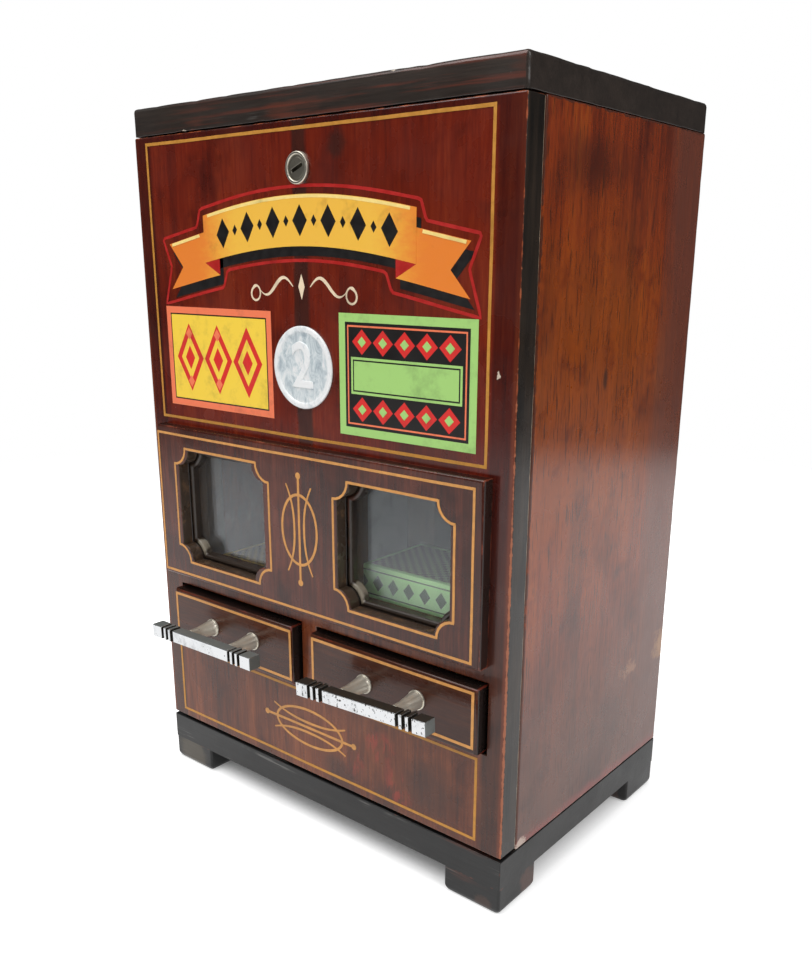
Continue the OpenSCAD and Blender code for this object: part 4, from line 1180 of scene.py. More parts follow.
def line_source(strokes, plane):
    """Mesh of bare lines: each stroke has points across, up and taper in millimetres, and may be closed."""
    points = []
    edges = []
    tapers = []
    for stroke, closed in strokes:
        first = len(points)
        for point in stroke:
            points.append((point[0] * MM, plane, point[1] * MM))
            tapers.append(point[2] if len(point) > 2 else 1.0)
        count = len(stroke)
        edges.extend((first + k, first + k + 1) for k in range(count - 1))
        if closed:
            edges.append((first + count - 1, first))
    mesh = bpy.data.meshes.new("lines")
    mesh.from_pydata(points, edges, [])
    mesh.attributes.new("taper", "FLOAT", "POINT").data.foreach_set("value", tapers)
    return mesh


def paint_lines(
    name, strokes, face, width, paint, body, seed, uneven=0.35, wander=0.5 * MM, step=2.0 * MM
):
    """Paints strokes on a face as a thin raised coat."""
    settings = {
        "Width": width, "Thickness": PAINT, "Step": step, "Unevenness": uneven,
        "Wander": wander, "Seed": seed, "Paint": paint,
    }
    source = line_source(strokes, face - PAINT * 0.45)
    mesh = smooth(grown(name, source, bpy.data.node_groups["Brush strokes"], settings), 30.0)
    return add_piece(name, mesh, body, paint)


def scatter(name, points, head, axis, turn, finish, body, seed, replaced=()):
    """Sets copies of a head mesh on points and makes them one piece."""
    source = bpy.data.meshes.new("points")
    source.from_pydata(points, [], [])
    model = new_object("head", head)
    settings = {"Piece": model, "Axis": axis, "Turn": turn, "Seed": seed, "Finish": finish}
    mesh = grown(name, source, bpy.data.node_groups["Set on points"], settings)
    bpy.data.objects.remove(model)
    return add_piece(name, mesh, body, finish, replaced)


def rectangle(x0, z0, x1, z1, over):
    """Four strokes of a rectangle that overlap at the corners."""
    return [
        ([(x0 - over, z0), (x1 + over, z0)], False),
        ([(x0 - over, z1), (x1 + over, z1)], False),
        ([(x0, z0 - over), (x0, z1 + over)], False),
        ([(x1, z0 - over), (x1, z1 + over)], False),
    ]


def arc(x, z, radius, start, stop, count=12):
    """Stroke along part of a circle, angles in degrees."""
    points = []
    for k in range(count + 1):
        angle = math.radians(start + (stop - start) * k / count)
        points.append((x + radius * math.cos(angle), z + radius * math.sin(angle)))
    return points, False


def scooped(x0, z0, x1, z1, scoop):
    """Strokes of a rectangle whose corners are scooped out."""
    return [
        ([(x0 + scoop, z0), (x1 - scoop, z0)], False),
        ([(x0 + scoop, z1), (x1 - scoop, z1)], False),
        ([(x0, z0 + scoop), (x0, z1 - scoop)], False),
        ([(x1, z0 + scoop), (x1, z1 - scoop)], False),
        arc(x0, z0, scoop, -3.0, 93.0),
        arc(x1, z0, scoop, 87.0, 183.0),
        arc(x1, z1, scoop, 177.0, 273.0),
        arc(x0, z1, scoop, 267.0, 363.0),
    ]


def ornament(x, z, reach, width, height, upright):
    """Oval with a straight middle line and two lines that bow inwards through it."""
    def spot(across, along, taper=1.0):
        return (x + across, z + along, taper) if upright else (x + along, z + across, taper)
    count = 48
    oval = []
    for k in range(count):
        angle = 2.0 * math.pi * k / count
        oval.append(spot(width / 2.0 * math.cos(angle), height / 2.0 * math.sin(angle)))
    strokes = [(oval, True), ([spot(0.0, -reach), spot(0.0, reach)], False)]
    steps = 24
    for side in (-1.0, 1.0):
        bow = []
        for k in range(steps + 1):
            along = -1.0 + 2.0 * k / steps
            across = side * (width * BOW_MIDDLE + width * BOW_SPREAD * abs(along) ** BOW_POWER)
            taper = 0.55 + 0.45 * math.cos(along * 1.45)
            bow.append(spot(across, along * reach * BOW_REACH, taper))
        strokes.append((bow, False))
    return strokes


def mirrored(outline):
    """The same outline on the other side of the middle."""
    return [(-x, *rest) for x, *rest in reversed(outline)]


def island_centres(node):
    """Middle of each separate solid in a construction node."""
    shape = merged_copy(node)
    left = set(shape.verts)
    centres = []
    while left:
        group = [left.pop()]
        for vert in group:
            for edge in vert.link_edges:
                other = edge.other_vert(vert)
                if other in left:
                    left.remove(other)
                    group.append(other)
        lows = [min(v.co[axis] for v in group) for axis in range(3)]
        highs = [max(v.co[axis] for v in group) for axis in range(3)]
        centres.append((Vector(lows) + Vector(highs)) / 2.0)
    shape.free()
    return sorted(centres, key=lambda c: (round(c.z, 4), round(c.x, 4)))


def slotted_screw(head_r, shank_r, long, slot, depth):
    """Countersunk screw that faces forwards, with its head's top at the origin and an open slot."""
    shape = bmesh.new()
    under = head_r - depth
    turned(shape, [
        (0.0, -depth), (under, -depth), (shank_r, shank_r - head_r), (shank_r, -long), (0.0, -long),
    ], Vector((0.0, 0.0, 0.0)), 24)
    count = 13
    for side in (-1.0, 1.0):
        tops = []
        bottoms = []
        for radius, level, ring in ((head_r, 0.0, tops), (under, depth, bottoms)):
            start = math.asin(slot / 2.0 / radius)
            for k in range(count):
                angle = start + (math.pi - 2.0 * start) * k / (count - 1)
                spot = (radius * math.cos(angle), level, side * radius * math.sin(angle))
                ring.append(shape.verts.new(spot))
        shape.faces.new(tops)
        shape.faces.new(bottoms)
        for k in range(count):
            after = (k + 1) % count
            shape.faces.new((tops[k], tops[after], bottoms[after], bottoms[k]))
    return closed_mesh(shape, "screw", 30.0)


def dress(material, *nodes):
    """Gives a better finish to construction nodes that stay."""
    for node in nodes:
        mesh_slots = NODES[node].material_slots
        if not mesh_slots:
            raise RuntimeError(node + " has no place for a material")
        for place in mesh_slots:
            place.material = material


class CABINET_OT_case(bpy.types.Operator):
    """Boards of the case: cap with its slot plate, base, feet, sides, and back panel with its screws"""

    bl_idname = "cabinet.case"
    bl_label = "Case"

    def execute(self, context):
        size = sizes()
        slight = size.ragged * 0.4
        finish = lacquer("top_cap", "x", streaks=0.06, chips=-0.0013, body="cap", lines=0.55, scratches=0.3)
        rules = [(upper_corner, size.cap_edge), (at_corner, size.under_edge)]
        mesh = softened("top_cap", rules, ragged=size.ragged)
        add_piece("cap_board", mesh, "carcass", finish, ["top_cap"])
        finish = lacquer("base_board", "x", streaks=-0.05, chips=-0.0019, sheen=0.75, scratches=0.5)
        mesh = softened("base_board", [(upper_corner, size.base_edge)], ragged=slight)
        add_piece("base_plinth", mesh, "carcass", finish, ["base_board"])
        for node in ("front_feet", "rear_feet"):
            mesh = softened(node, [(below_top, size.foot_edge)])
            finish = lacquer(
                node, "x", streaks=-0.04, chips=-0.0022, sheen=0.75, bare=FOOT_WEAR, scratches=0.35
            )
            add_piece(node + "_blocks", mesh, "carcass", finish, [node])
        for side in ("left", "right"):
            node = side + "_side"
            mesh = softened(node, [(at_corner, size.board_edge)], ragged=slight)
            add_piece(side + "_board", mesh, "carcass", side_finish(side), [node])
        mesh = softened("back_panel", [(at_corner, size.board_edge)])
        add_piece("back_board", mesh, "carcass", back_finish(), ["back_panel"])
        low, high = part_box("back_screws")
        points = island_centres("back_screws")
        for point in points:
            point.y = high.y
        screw = slotted_screw(SCREW_HEAD, SCREW_SHANK, high.y - low.y, SCREW_SLOT, SCREW_SLOT_DEPTH)
        screw.transform(Matrix.Rotation(math.pi, 4, "Z"))
        finish = metal("screw_brass", "brass", dark=0.6, rough=0.3)
        scatter(
            "back_panel_screws", points, screw, (0.0, 1.0, 0.0), math.pi, finish, "carcass", 4,
            ["back_screws"],
        )
        plate = softened("coin_slot_plate", [(convex_edge, size.plate_edge)], steps=2)
        finish = metal("slot_plate_brass", "brass", dark=0.55, rough=0.26, pits=0.02)
        add_piece("coin_slot_brass", plate, "carcass", finish, ["coin_slot_plate"])
        return {"FINISHED"}


class CABINET_OT_front(bpy.types.Operator):
    """Front board and window panel"""

    bl_idname = "cabinet.front"
    bl_label = "Front"

    def execute(self, context):
        size = sizes()
        mesh = softened("front_board", [(at_corner, size.board_edge), (front_inner, size.window_edge)])
        add_piece("front_door", mesh, "front", front_finish(), ["front_board"])
        mesh = softened("window_panel", [(front_outline, size.panel_edge), (front_inner, size.window_edge)])
        add_piece("window_frame", mesh, "front", panel_finish(), ["window_panel"])
        return {"FINISHED"}


class CABINET_OT_windows(bpy.types.Operator):
    """Beads and glass of the two windows"""

    bl_idname = "cabinet.windows"
    bl_label = "Windows"

    def execute(self, context):
        for side in ("left", "right"):
            node = side + "_window_bead"
            mesh = softened(node, [(front_edge, sizes().bead_edge)], steps=4)
            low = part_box(node)[0]
            # Pale patch at the bead's lower corner: worn paint with a painted highlight on the scooped corner
            corner = (low.x + BEAD_CORNER, low.z + BEAD_CORNER)
            rubbed = ((0, corner, BEAD_WORN_HIGHLIGHT, 0.7, (158, 148, 130)),)
            finish = lacquer(node, "x", streaks=0.02, chips=-0.0022, body="bead", bare=rubbed)
            add_piece(side + "_bead", mesh, "front", finish, [node])
        dress(window_glass(), "left_window_glass", "right_window_glass")
        return {"FINISHED"}


class CABINET_OT_price_disc(bpy.types.Operator):
    """Silver price disc with a rim and a plain numeral"""

    bl_idname = "cabinet.price_disc"
    bl_label = "Price disc"

    def execute(self, context):
        radius = (DISC_HIGH.x - DISC_LOW.x) / 2.0
        thick = DISC_HIGH.y - DISC_LOW.y
        centre = Vector(((DISC_LOW.x + DISC_HIGH.x) / 2.0, DISC_HIGH.y, (DISC_LOW.z + DISC_HIGH.z) / 2.0))
        brim = thick * 0.6
        floor = thick * 0.52
        profile = [(0.0, 0.0), (radius - DISC_CHAMFER, 0.0), (radius, DISC_CHAMFER), (radius, brim)]
        for k in range(1, 9):
            angle = math.pi * k / 8
            across = radius - DISC_ROUND + DISC_ROUND * math.cos(angle)
            profile.append((across, brim + (thick - brim) * math.sin(angle)))
        profile += [(radius - DISC_RIM, floor), (radius * 0.4, thick * 0.58), (0.0, brim)]
        shape = bmesh.new()
        turned(shape, profile, centre, 96)
        silver = silver_paint("price_disc_silver", pale_from=radius - DISC_PALE)
        mesh = closed_mesh(shape, "disc", 50.0)
        add_piece("price_disc_cast", mesh, "front", silver, ["price_disc"])
        text = bpy.data.curves.new("numeral", "FONT")
        text.body = "2"
        text.size = NUMERAL_SIZE
        text.extrude = NUMERAL_DEPTH
        text.bevel_depth = NUMERAL_ROUND
        text.bevel_resolution = 2
        text.align_x = "CENTER"
        text.align_y = "CENTER"
        mesh = evaluated_mesh(new_object("numeral", text))
        mesh.transform(Matrix.Rotation(math.pi / 2.0, 4, "X"))
        mesh.transform(Matrix.Translation(centre - Vector((0.0, floor, 0.0))))
        pale = silver_paint("price_numeral_silver", pale_from=0.1 * MM)
        add_piece("price_numeral", smooth(mesh, 60.0), "front", pale)
        return {"FINISHED"}


class CABINET_OT_drawers(bpy.types.Operator):
    """Drawer fronts with their handle bars and posts"""

    bl_idname = "cabinet.drawers"
    bl_label = "Drawers and handles"

    def execute(self, context):
        size = sizes()
        # Grime with painted shade for the grooves' faces, and a painted reflection in duller plate for the
        # bars' ends
        grime_and_shade = metal("handle_grime_and_shade", "grime_and_shade", dark=0.7, rough=0.45, bright=0.4)
        dull = metal("handle_ends_painted_reflection", "painted_reflection_plate", dark=0.7, rough=0.4, bright=0.5)
        nickel = metal("post_nickel", "nickel", dark=0.75, rough=0.3, pits=0.02, bright=0.8)
        for side, dark, pits, upper in BAR_WEAR_AND_REFLECTION:
            body = side + "_drawer"
            node = side + "_drawer_front"
            mesh = softened(node, [(front_edge, size.drawer_edge)], steps=4)
            add_piece(node + "_board", mesh, body, drawer_finish(side), [node])
            node = side + "_handle_bar"
            mesh = softened(node, [(convex_edge, size.bar_edge)])
            places = grooves(mesh, *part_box(node), GROOVE_DEPTH, GROOVE_WIDTH)
            # Chrome with a painted dark reflection on the upper side, in the colour that the table names
            chrome = metal(
                side + "_handle_chrome", "chrome", dark, rough=0.08, pits=pits, scale=640.0, painted_top_reflection=upper
            )
            add_piece(node + "_plated", mesh, body, [chrome, grime_and_shade, dull], [node], places)
            node = side + "_handle_posts"
            mesh = softened(node, [(convex_edge, size.bar_edge * 0.6)], steps=2)
            add_piece(node + "_turned", mesh, body, nickel, [node])
        return {"FINISHED"}


class CABINET_OT_lock(bpy.types.Operator):
    """Lock ring and plug with its keyway"""

    bl_idname = "cabinet.lock"
    bl_label = "Lock"

    def execute(self, context):
        nickel = metal("lock_nickel", "nickel", dark=0.5, rough=0.36, pits=0.05, bright=0.85)
        plug = metal("lock_plug_nickel", "plug", dark=0.6, rough=0.4, pits=0.04)
        mesh = softened("lock_case", [(front_edge, LOCK_CASE_ROUND)], steps=4)
        low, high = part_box("lock_case")
        middle = (low + high) / 2.0
        within = (high.x - low.x) / 2.0 - LOCK_RING
        places = []
        for face in mesh.polygons:
            off = face.center - middle
            places.append(int(math.hypot(off.x, off.z) < within))
        add_piece(
            "lock_case_turned", mesh, BODY_OF["lock_case"], [nickel, plug], ["lock_case"], places
        )
        mesh = softened("lock_plug", [(front_edge, LOCK_PLUG_ROUND)], steps=2)
        add_piece("lock_plug_turned", mesh, BODY_OF["lock_plug"], plug, ["lock_plug"])
        return {"FINISHED"}


class CABINET_OT_works(bpy.types.Operator):
    """Packets, inner woodwork, chutes, latches, cash box and fasteners"""

    bl_idname = "cabinet.works"
    bl_label = "Works and packets"

    def execute(self, context):
        for side, colour in (("left", "yellow"), ("right", "green")):
            for node in (side + "_packets", side + "_drawer_packet"):
                mesh = softened(node, [(any_edge, sizes().card_edge)], steps=2)
                finish = packet_card(node + "_card", "card_" + colour, node)
                add_piece(node + "_printed", mesh, BODY_OF[node], finish, [node])
        finishes = {
            "pale_wood": inner_wood(),
            "tinplate": metal("dull_tin", "tin", dark=0.6, rough=0.34, pits=0.03),
            "brass": metal("dull_brass", "brass", dark=0.55, rough=0.34, pits=0.02),
            "nickel": metal("dull_nickel", "nickel", dark=0.6, rough=0.32),
        }
        for part in frame["record"]["subparts"]:
            node = part["node"]
            if part["material_slot"] in finishes and not NODES[node].hide_render:
                dress(finishes[part["material_slot"]], node)
        return {"FINISHED"}


class CABINET_OT_striping(bpy.types.Operator):
    """Painted border lines and line ornaments on the front, the window panel and the drawers"""

    bl_idname = "cabinet.striping"
    bl_label = "Painted lines"

    def execute(self, context):
        size = sizes()
        gold = line_paint("line_gold", "gold")
        bright = line_paint("line_bright_gold", "gold_bright")
        over = size.border_line / MM / 2.0
        borders = rectangle(*UPPER_BORDER, over) + rectangle(*LOWER_BORDER, over)
        paint_lines("front_border_lines", borders, FACE_Y, size.border_line, gold, "front", seed=1.0)
        lines = rectangle(*PANEL_BORDER, size.panel_line / MM / 2.0)
        for edges in WINDOW_BORDERS:
            lines += scooped(*edges, WINDOW_SCOOP)
        paint_lines("panel_border_lines", lines, PANEL_Y, size.panel_line, bright, "front", seed=2.0)
        for side, edges in DRAWER_BORDERS.items():
            name = side + "_drawer"
            lines = rectangle(*edges, size.drawer_line / MM / 2.0)
            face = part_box(name + "_front")[0].y
            paint_lines(name + "_lines", lines, face, size.drawer_line, bright, name, seed=3.0)
        ball = bmesh.new()
        profile = [(0.0, 0.0), (ORNAMENT_BALL, 0.0), (ORNAMENT_BALL, PAINT * 0.6), (0.0, PAINT)]
        turned(ball, profile, Vector(), 20)
        ball = closed_mesh(ball, "ball", 30.0)
        for name, plane, place in (
            ("panel_ornament", PANEL_Y, PANEL_ORNAMENT),
            ("lower_ornament", FACE_Y, LOWER_ORNAMENT),
        ):
            paint_lines(
                name, ornament(*place), plane, size.ornament_line, bright, "front",
                seed=5.0, uneven=0.4, wander=0.3 * MM, step=MM,
            )
            x, z, reach, _, _, upright = place
            ends = [(x, z - reach), (x, z + reach)] if upright else [(x - reach, z), (x + reach, z)]
            points = [(across * MM, plane, up * MM) for across, up in ends]
            scatter(
                name + "_balls", points, ball.copy(), (0.0, 1.0, 0.0), 0.0, bright, "front", 1
            )
        return {"FINISHED"}


def ribbon_line(x):
    """Height of the ribbon's middle, in millimetres."""
    return RIBBON_UP + RIBBON_RISE * math.cos(math.pi * x / RIBBON_SPAN)


def ribbon_band(start, stop, drop, half, count=24):
    """Outline of an arched band between two places across."""
    steps = [start + (stop - start) * k / count for k in range(count + 1)]
    lower = [(x, ribbon_line(x) - drop - half) for x in steps]
    upper = [(x, ribbon_line(x) - drop + half) for x in reversed(steps)]
    return lower + upper


def moved(outline, across, up):
    """Outline shifted across and up."""
    return [(x + across, z + up) for x, z in outline]


class CABINET_OT_signwriting(bpy.types.Operator):
    """Blank painted ribbon with folded ends, and a cream flourish below it"""

    bl_idname = "cabinet.signwriting"
    bl_label = "Ribbon and flourish"

    def execute(self, context):
        black = line_paint("sign_black", "black")
        red = line_paint("sign_red", "red")
        self.ribbon(ribbon_paint(), black, red)
        self.outline(red)
        self.lights(line_paint("sign_pale", "ribbon_light", 0.92))
        self.flourish(line_paint("sign_cream", "cream", 0.9))
        return {"FINISHED"}

    def ribbon(self, gold, black, red):
        """Band with its tails and folds, the shadow under them and the marks on the band."""
        half, drop, fold, end, tip = RIBBON_HALF, RIBBON_DROP, RIBBON_FOLD, RIBBON_END, RIBBON_TIP
        band = ribbon_band(-end, end, 0.0, half)
        tail = ribbon_band(fold, tip, drop, half, 10)
        tail.insert(len(tail) // 2, (tip - RIBBON_NOTCH, ribbon_line(tip) - drop))
        crease = [
            (end, ribbon_line(end) - half), (fold, ribbon_line(fold) - half),
            (fold, ribbon_line(fold) - drop - half),
        ]
        tails = [tail, mirrored(tail)]
        creases = [crease, mirrored(crease)]
        # Coats from the board outwards: name, outlines, height in millimetres and paint
        layers = (
            ("ribbon_shadow", [moved(o, *RIBBON_SHADOW) for o in [band, *tails]], 0.05, black),
            ("ribbon_tails", tails, 0.09, gold),
            ("ribbon_folds", creases, 0.12, red),
            ("ribbon_band", [band], RIBBON_COAT, gold),
            ("ribbon_marks", self.marks(), 0.18, black),
        )
        for name, outlines, thick, paint in layers:
            shape = bmesh.new()
            for outline in outlines:
                slab(shape, outline, thick * MM + BEDDED)
            add_piece(name, closed_mesh(shape, name, 30.0), "front", paint)

    def outline(self, red):
        """Thin line round the ribbon, drawn for the right half and mirrored."""
        drop, fold, end, tip = RIBBON_DROP, RIBBON_FOLD, RIBBON_END, RIBBON_TIP
        above = RIBBON_HALF + OUTLINE_GAP
        below = -RIBBON_HALF - OUTLINE_LOW_GAP
        # Runs of the line: where each starts and stops, its steps, and its rise over the ribbon's middle
        right = []
        for start, stop, count, rise in (
            (0.0, end + 2.0, 16, above),
            (end + 4.6, tip + 4.6, 6, above - drop),
            (tip - 0.6, tip - 0.6, 1, -drop),
            (tip + 5.0, fold - 2.0, 10, below - drop),
            (fold - 5.0, 0.0, 12, below),
        ):
            places = [start + (stop - start) * k / count for k in range(count + 1)]
            right += [(x, ribbon_line(x) + rise) for x in places]
        strokes = [(right[:-1] + mirrored(right)[:-1], True)]
        paint_lines(
            "ribbon_outline", strokes, FACE_Y, sizes().outline, red, "front", seed=7.0, uneven=0.4
        )

    def lights(self, pale):
        """Pale lines just inside the upper edges of the band and the tails."""
        lit = RIBBON_HALF - RIBBON_LIT
        strokes = [([(x, ribbon_line(x) + lit) for x in range(-58, 59, 4)], False)]
        for side in (-1, 1):
            line = [(side * x, ribbon_line(x) - RIBBON_DROP + lit) for x in range(64, 86, 4)]
            strokes.append((line, False))
        paint_lines(
            "ribbon_light", strokes, FACE_Y - RIBBON_COAT * MM, sizes().outline, pale, "front",
            seed=8.0, uneven=0.5, wander=0.2 * MM,
        )

    def marks(self):
        """Row of plain lozenges with small ones between them, set along the ribbon."""
        shapes = []
        for k in range(-6, 7):
            x = 8.0 * k
            size = 1.0 if k % 2 == 0 else 0.36
            lean = (ribbon_line(x + 1.0) - ribbon_line(x - 1.0)) / 2.0
            shapes.append([
                (x + across * size, ribbon_line(x) + (up + lean * across) * size)
                for across, up in lozenge(0.0, 0.0, 4.2, 6.2)
            ])
        return shapes

    def flourish(self, cream):
        """Two mirrored scrolls with a lozenge between them."""
        middle = FLOURISH_UP
        long = FLOURISH_OUTER - FLOURISH_INNER
        scroll = []
        for k in range(41):
            t = k / 40
            taper = 0.25 + 0.75 * math.sin(math.pi * min(1.0, t * 1.15))
            up = middle + FLOURISH_WAVE * math.sin(2.0 * math.pi * t)
            scroll.append((FLOURISH_INNER + long * t, up, taper))
        for k in range(1, 31):
            t = k / 30
            angle = math.radians(90.0 - 480.0 * t)
            reach = FLOURISH_CURL * (1.0 - 0.72 * t)
            across = FLOURISH_OUTER + reach * math.cos(angle) + 1.4 * t
            up = middle - FLOURISH_CURL + reach * math.sin(angle) + 3.4 * t
            scroll.append((across, up, 0.7 - 0.3 * t))
        strokes = [(scroll, False), (mirrored(scroll), False)]
        strokes.append(([(0.0, middle - 5.0, 0.1), (0.0, middle, 2.4), (0.0, middle + 5.0, 0.1)], False))
        paint_lines(
            "cream_flourish", strokes, FACE_Y, sizes().flourish_line, cream, "front",
            seed=9.0, uneven=0.3, wander=0.2 * MM, step=0.6 * MM,
        )


def sheet_outline(edges, inset=0.0):
    """Rectangle that lies inside the given edges by an inset."""
    x0, z0, x1, z1 = edges[0] + inset, edges[1] + inset, edges[2] - inset, edges[3] - inset
    return [(x0, z0), (x1, z0), (x1, z1), (x0, z1)]


def spaced(edges, margin, count):
    """Middles of equal fields across a rectangle, inside a margin."""
    step = (edges[2] - edges[0] - 2.0 * margin) / count
    return [edges[0] + margin + step * (k + 0.5) for k in range(count)]


def lozenge(x, z, across, up):
    """Diamond about a point."""
    return [(x - across, z), (x, z - up), (x + across, z), (x, z + up)]


class CABINET_OT_labels(bpy.types.Operator):
    """Two printed paper labels with plain geometric patterns"""

    bl_idname = "cabinet.labels"
    bl_label = "Labels"

    def execute(self, context):
        # Prints from the sheet outwards: colour and outlines, with insets and half sizes in millimetres
        sheet = LEFT_LABEL
        middle = (sheet[1] + sheet[3]) / 2.0
        centres = spaced(sheet, 6.0, 3)
        spots = [(x, z) for x in centres[:2] for z in (middle - 11.0, middle + 11.0)]
        self.label("left_label", (
            ("coral", [sheet_outline(sheet)]),
            ("black", [sheet_outline(sheet, 3.0)]),
            ("yellow", [sheet_outline(sheet, 3.6)]),
            ("crimson", [lozenge(x, middle, 9.6, 15.6) for x in centres]),
            ("yellow", [lozenge(x, middle, 6.4, 10.4) for x in centres]),
            ("crimson", [lozenge(x, middle, 3.4, 5.5) for x in centres]),
            ("coral", [lozenge(x, z, 2.2, 2.8) for x, z in spots]),
        ))
        sheet = RIGHT_LABEL
        middle = (sheet[1] + sheet[3]) / 2.0
        field = (sheet[0] + 6.6, middle - 7.4, sheet[2] - 6.6, middle + 7.4)
        spots = [(x, z) for x in spaced(sheet, 7.0, 5) for z in (sheet[1] + 11.0, sheet[3] - 11.0)]
        self.label("right_label", (
            ("green", [sheet_outline(sheet)]),
            ("black", [sheet_outline(sheet, 3.4)]),
            ("coral", [sheet_outline(sheet, 4.6)]),
            ("black", [sheet_outline(sheet, 5.3)]),
            ("crimson", [lozenge(x, z, 5.2, 5.0) for x, z in spots]),
            ("green", [sheet_outline(field)]),
            ("black", [sheet_outline(field, 1.0)]),
            ("green", [sheet_outline(field, 1.6)]),
            ("green", [lozenge(x, z, 2.2, 2.1) for x, z in spots]),
        ))
        return {"FINISHED"}

    def label(self, name, layers):
        """Stacks printed layers on a paper sheet as one piece."""
        papers = []
        shape = bmesh.new()
        for level, (colour, outlines) in enumerate(layers):
            if colour not in papers:
                papers.append(colour)
            for outline in outlines:
                slab(shape, outline, LABEL_SHEET + LABEL_PRINT * level, papers.index(colour))
        materials = [label_paper(name + "_" + colour, colour) for colour in papers]
        mesh = closed_mesh(shape, name, 30.0)
        places = [face.material_index for face in mesh.polygons]
        add_piece(name, mesh, "front", materials, places=places)


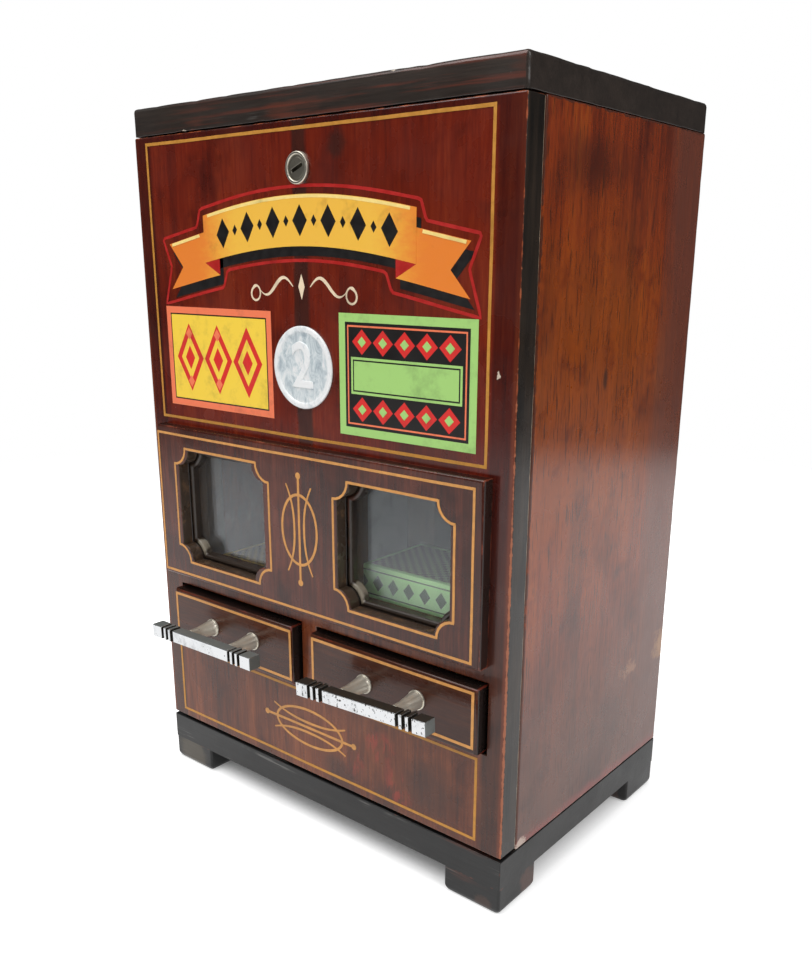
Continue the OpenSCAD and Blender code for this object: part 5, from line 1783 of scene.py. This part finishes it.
class CABINET_OT_stage(bpy.types.Operator):
    """Camera, floor, lamps and even light"""

    bl_idname = "cabinet.stage"
    bl_label = "Stage"

    def execute(self, context):
        stage = context.scene.cabinet_stage
        context.scene.view_settings.view_transform = "Standard"
        self.camera(context, stage)
        self.floor(stage)
        self.light(context, stage)
        return {"FINISHED"}

    def camera(self, context, stage):
        """Camera at the viewing angle, with the shift that the framing needs."""
        data = bpy.data.cameras.new("camera")
        data.sensor_width = 36.0
        data.lens = stage.lens
        data.shift_x, data.shift_y = stage.shift
        data.clip_start = 0.01
        camera = new_object("camera", data)
        turn, tilt = stage.azimuth, stage.elevation
        back = Vector((
            math.sin(turn) * math.cos(tilt), -math.cos(turn) * math.cos(tilt), math.sin(tilt)
        ))
        right = Vector((math.cos(turn), math.sin(turn), 0.0))
        up = back.cross(right)
        view = Matrix((right, up, back)).transposed() @ Matrix.Rotation(stage.roll, 3, "Z")
        camera.matrix_world = Matrix.Translation(Vector(stage.eye)) @ view.to_4x4()
        context.scene.camera = camera

    def floor(self, stage):
        """Pale sheet that keeps the shadow near the cabinet and turns white further out."""
        shape = bmesh.new()
        bmesh.ops.create_grid(shape, x_segments=1, y_segments=1, size=FLOOR_HALF)
        floor = new_object("floor", plain_mesh(shape, "floor"))
        finish = Finish("white_sheet")
        x, y = finish.x, finish.y
        far = finish.calc("SQRT", finish.calc("MULTIPLY_ADD", x, x, finish.calc("MULTIPLY", y, y)))
        paper = finish.cloud(finish.coords, 400.0, 3.0)
        path = finish.add("ShaderNodeLightPath").outputs
        seen = finish.calc("MAXIMUM", path["Is Camera Ray"], path["Is Transmission Ray"])
        # Colour: in view it gives way to the glow further out, for other rays it ends with the sheet
        away = finish.step(far, stage.sheet * 0.4, stage.sheet)
        edge = finish.step(far, stage.sheet * 0.85, stage.sheet * 1.2)
        darker, lighter = (0.78, 0.78, 0.78, 1.0), (0.82, 0.82, 0.82, 1.0)
        plain = finish.blend(finish.step(paper, 0.3, 0.7), darker, lighter)
        beyond = finish.blend(edge, plain, (0.1, 0.1, 0.1, 1.0))
        watched = finish.blend(away, plain, (0.0, 0.0, 0.0, 1.0))
        colour = finish.blend(seen, beyond, watched)
        # Glow: weak by the base, where the shadow lies, and full white further out
        low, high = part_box("base_board")
        middle = (low + high) / 2.0
        beside = finish.calc("SUBTRACT", finish.calc("ABSOLUTE", x), high.x)
        before = finish.calc("ABSOLUTE", finish.calc("SUBTRACT", y, middle.y))
        before = finish.calc("SUBTRACT", before, high.y - middle.y)
        clear = finish.calc("MAXIMUM", beside, before)
        near = finish.step(clear, -0.014, 0.006, 0.1, 0.62)
        lift = finish.calc("ADD", near, finish.step(clear, 0.006, 0.25, 0.0, 0.38))
        gloss = finish.calc("MULTIPLY", path["Is Glossy Ray"], finish.step(edge, 0.0, 1.0, 0.2, 0.0))
        glow = finish.calc("MAXIMUM", finish.calc("MULTIPLY", seen, lift), gloss)
        finish.put(finish.shader.inputs["Emission Color"], (1.0, 1.0, 1.0, 1.0))
        finish.put(finish.shader.inputs["Emission Strength"], glow)
        finish.put(finish.shader.inputs["Specular IOR Level"], 0.0)
        floor.data.materials.append(finish.done(colour, 0.9))

    def light(self, context, stage):
        """One large soft lamp above, a weaker one at the side, and an even sky."""
        for name, (place, size, share) in LAMPS.items():
            data = bpy.data.lights.new(name, "AREA")
            data.size = size
            data.energy = stage.lamp * share
            lamp = new_object(name, data)
            lamp.location = place
            lamp.rotation_euler = (LAMP_AIM - Vector(place)).to_track_quat("-Z", "Y").to_euler()
        world = bpy.data.worlds.new("even_sky")
        context.scene.world = world
        world.use_nodes = True
        bench = NodeBench(world.node_tree)
        path = bench.add("ShaderNodeLightPath").outputs
        levels = {"Is Glossy Ray": GLOSSY_SKY, "Is Transmission Ray": 1.0, "Is Camera Ray": 1.0}
        level = stage.sky
        for ray, value in levels.items():
            mix = bench.add("ShaderNodeMix", data_type="FLOAT")
            for index, item in ((0, path[ray]), (2, level), (3, value)):
                bench.put(mix.inputs[index], item)
            level = mix.outputs[0]
        sky = world.node_tree.nodes["Background"]
        bench.put(sky.inputs["Color"], (1.0, 1.0, 1.0, 1.0))
        bench.put(sky.inputs["Strength"], level)


GROUPS = {"cabinet_sizes": CabinetSizes, "cabinet_colours": CabinetColours, "cabinet_stage": CabinetStage}
OPERATORS = (
    CABINET_OT_case, CABINET_OT_front, CABINET_OT_windows, CABINET_OT_price_disc, CABINET_OT_drawers,
    CABINET_OT_lock, CABINET_OT_works, CABINET_OT_striping, CABINET_OT_signwriting, CABINET_OT_labels,
    CABINET_OT_stage,
)


class CABINET_PT_sidebar(bpy.types.Panel):
    """Lists the steps and what can be changed"""

    bl_idname = "CABINET_PT_sidebar"
    bl_label = "Vending cabinet"
    bl_space_type = "VIEW_3D"
    bl_region_type = "UI"
    bl_category = "Cabinet"

    def draw(self, context):
        layout = self.layout
        for group in GROUPS:
            settings = getattr(context.scene, group)
            box = layout.box()
            for name in settings.__annotations__:
                box.prop(settings, name)
        for operator in OPERATORS:
            layout.operator(operator.bl_idname)


def register():
    """Registers the property groups, operators and panel."""
    for name, group in GROUPS.items():
        bpy.utils.register_class(group)
        setattr(bpy.types.Scene, name, bpy.props.PointerProperty(type=group))
    for operator in OPERATORS:
        bpy.utils.register_class(operator)
    bpy.utils.register_class(CABINET_PT_sidebar)


def unregister():
    """Takes them away again."""
    bpy.utils.unregister_class(CABINET_PT_sidebar)
    for operator in reversed(OPERATORS):
        bpy.utils.unregister_class(operator)
    for name, group in GROUPS.items():
        delattr(bpy.types.Scene, name)
        bpy.utils.unregister_class(group)


def main():
    """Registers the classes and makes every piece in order."""
    register()
    brush_tree()
    scatter_tree()
    bpy.ops.cabinet.case()
    bpy.ops.cabinet.front()
    bpy.ops.cabinet.windows()
    bpy.ops.cabinet.price_disc()
    bpy.ops.cabinet.drawers()
    bpy.ops.cabinet.lock()
    bpy.ops.cabinet.works()
    bpy.ops.cabinet.striping()
    bpy.ops.cabinet.signwriting()
    bpy.ops.cabinet.labels()
    bpy.ops.cabinet.stage()


if __name__ == "__main__":
    main()
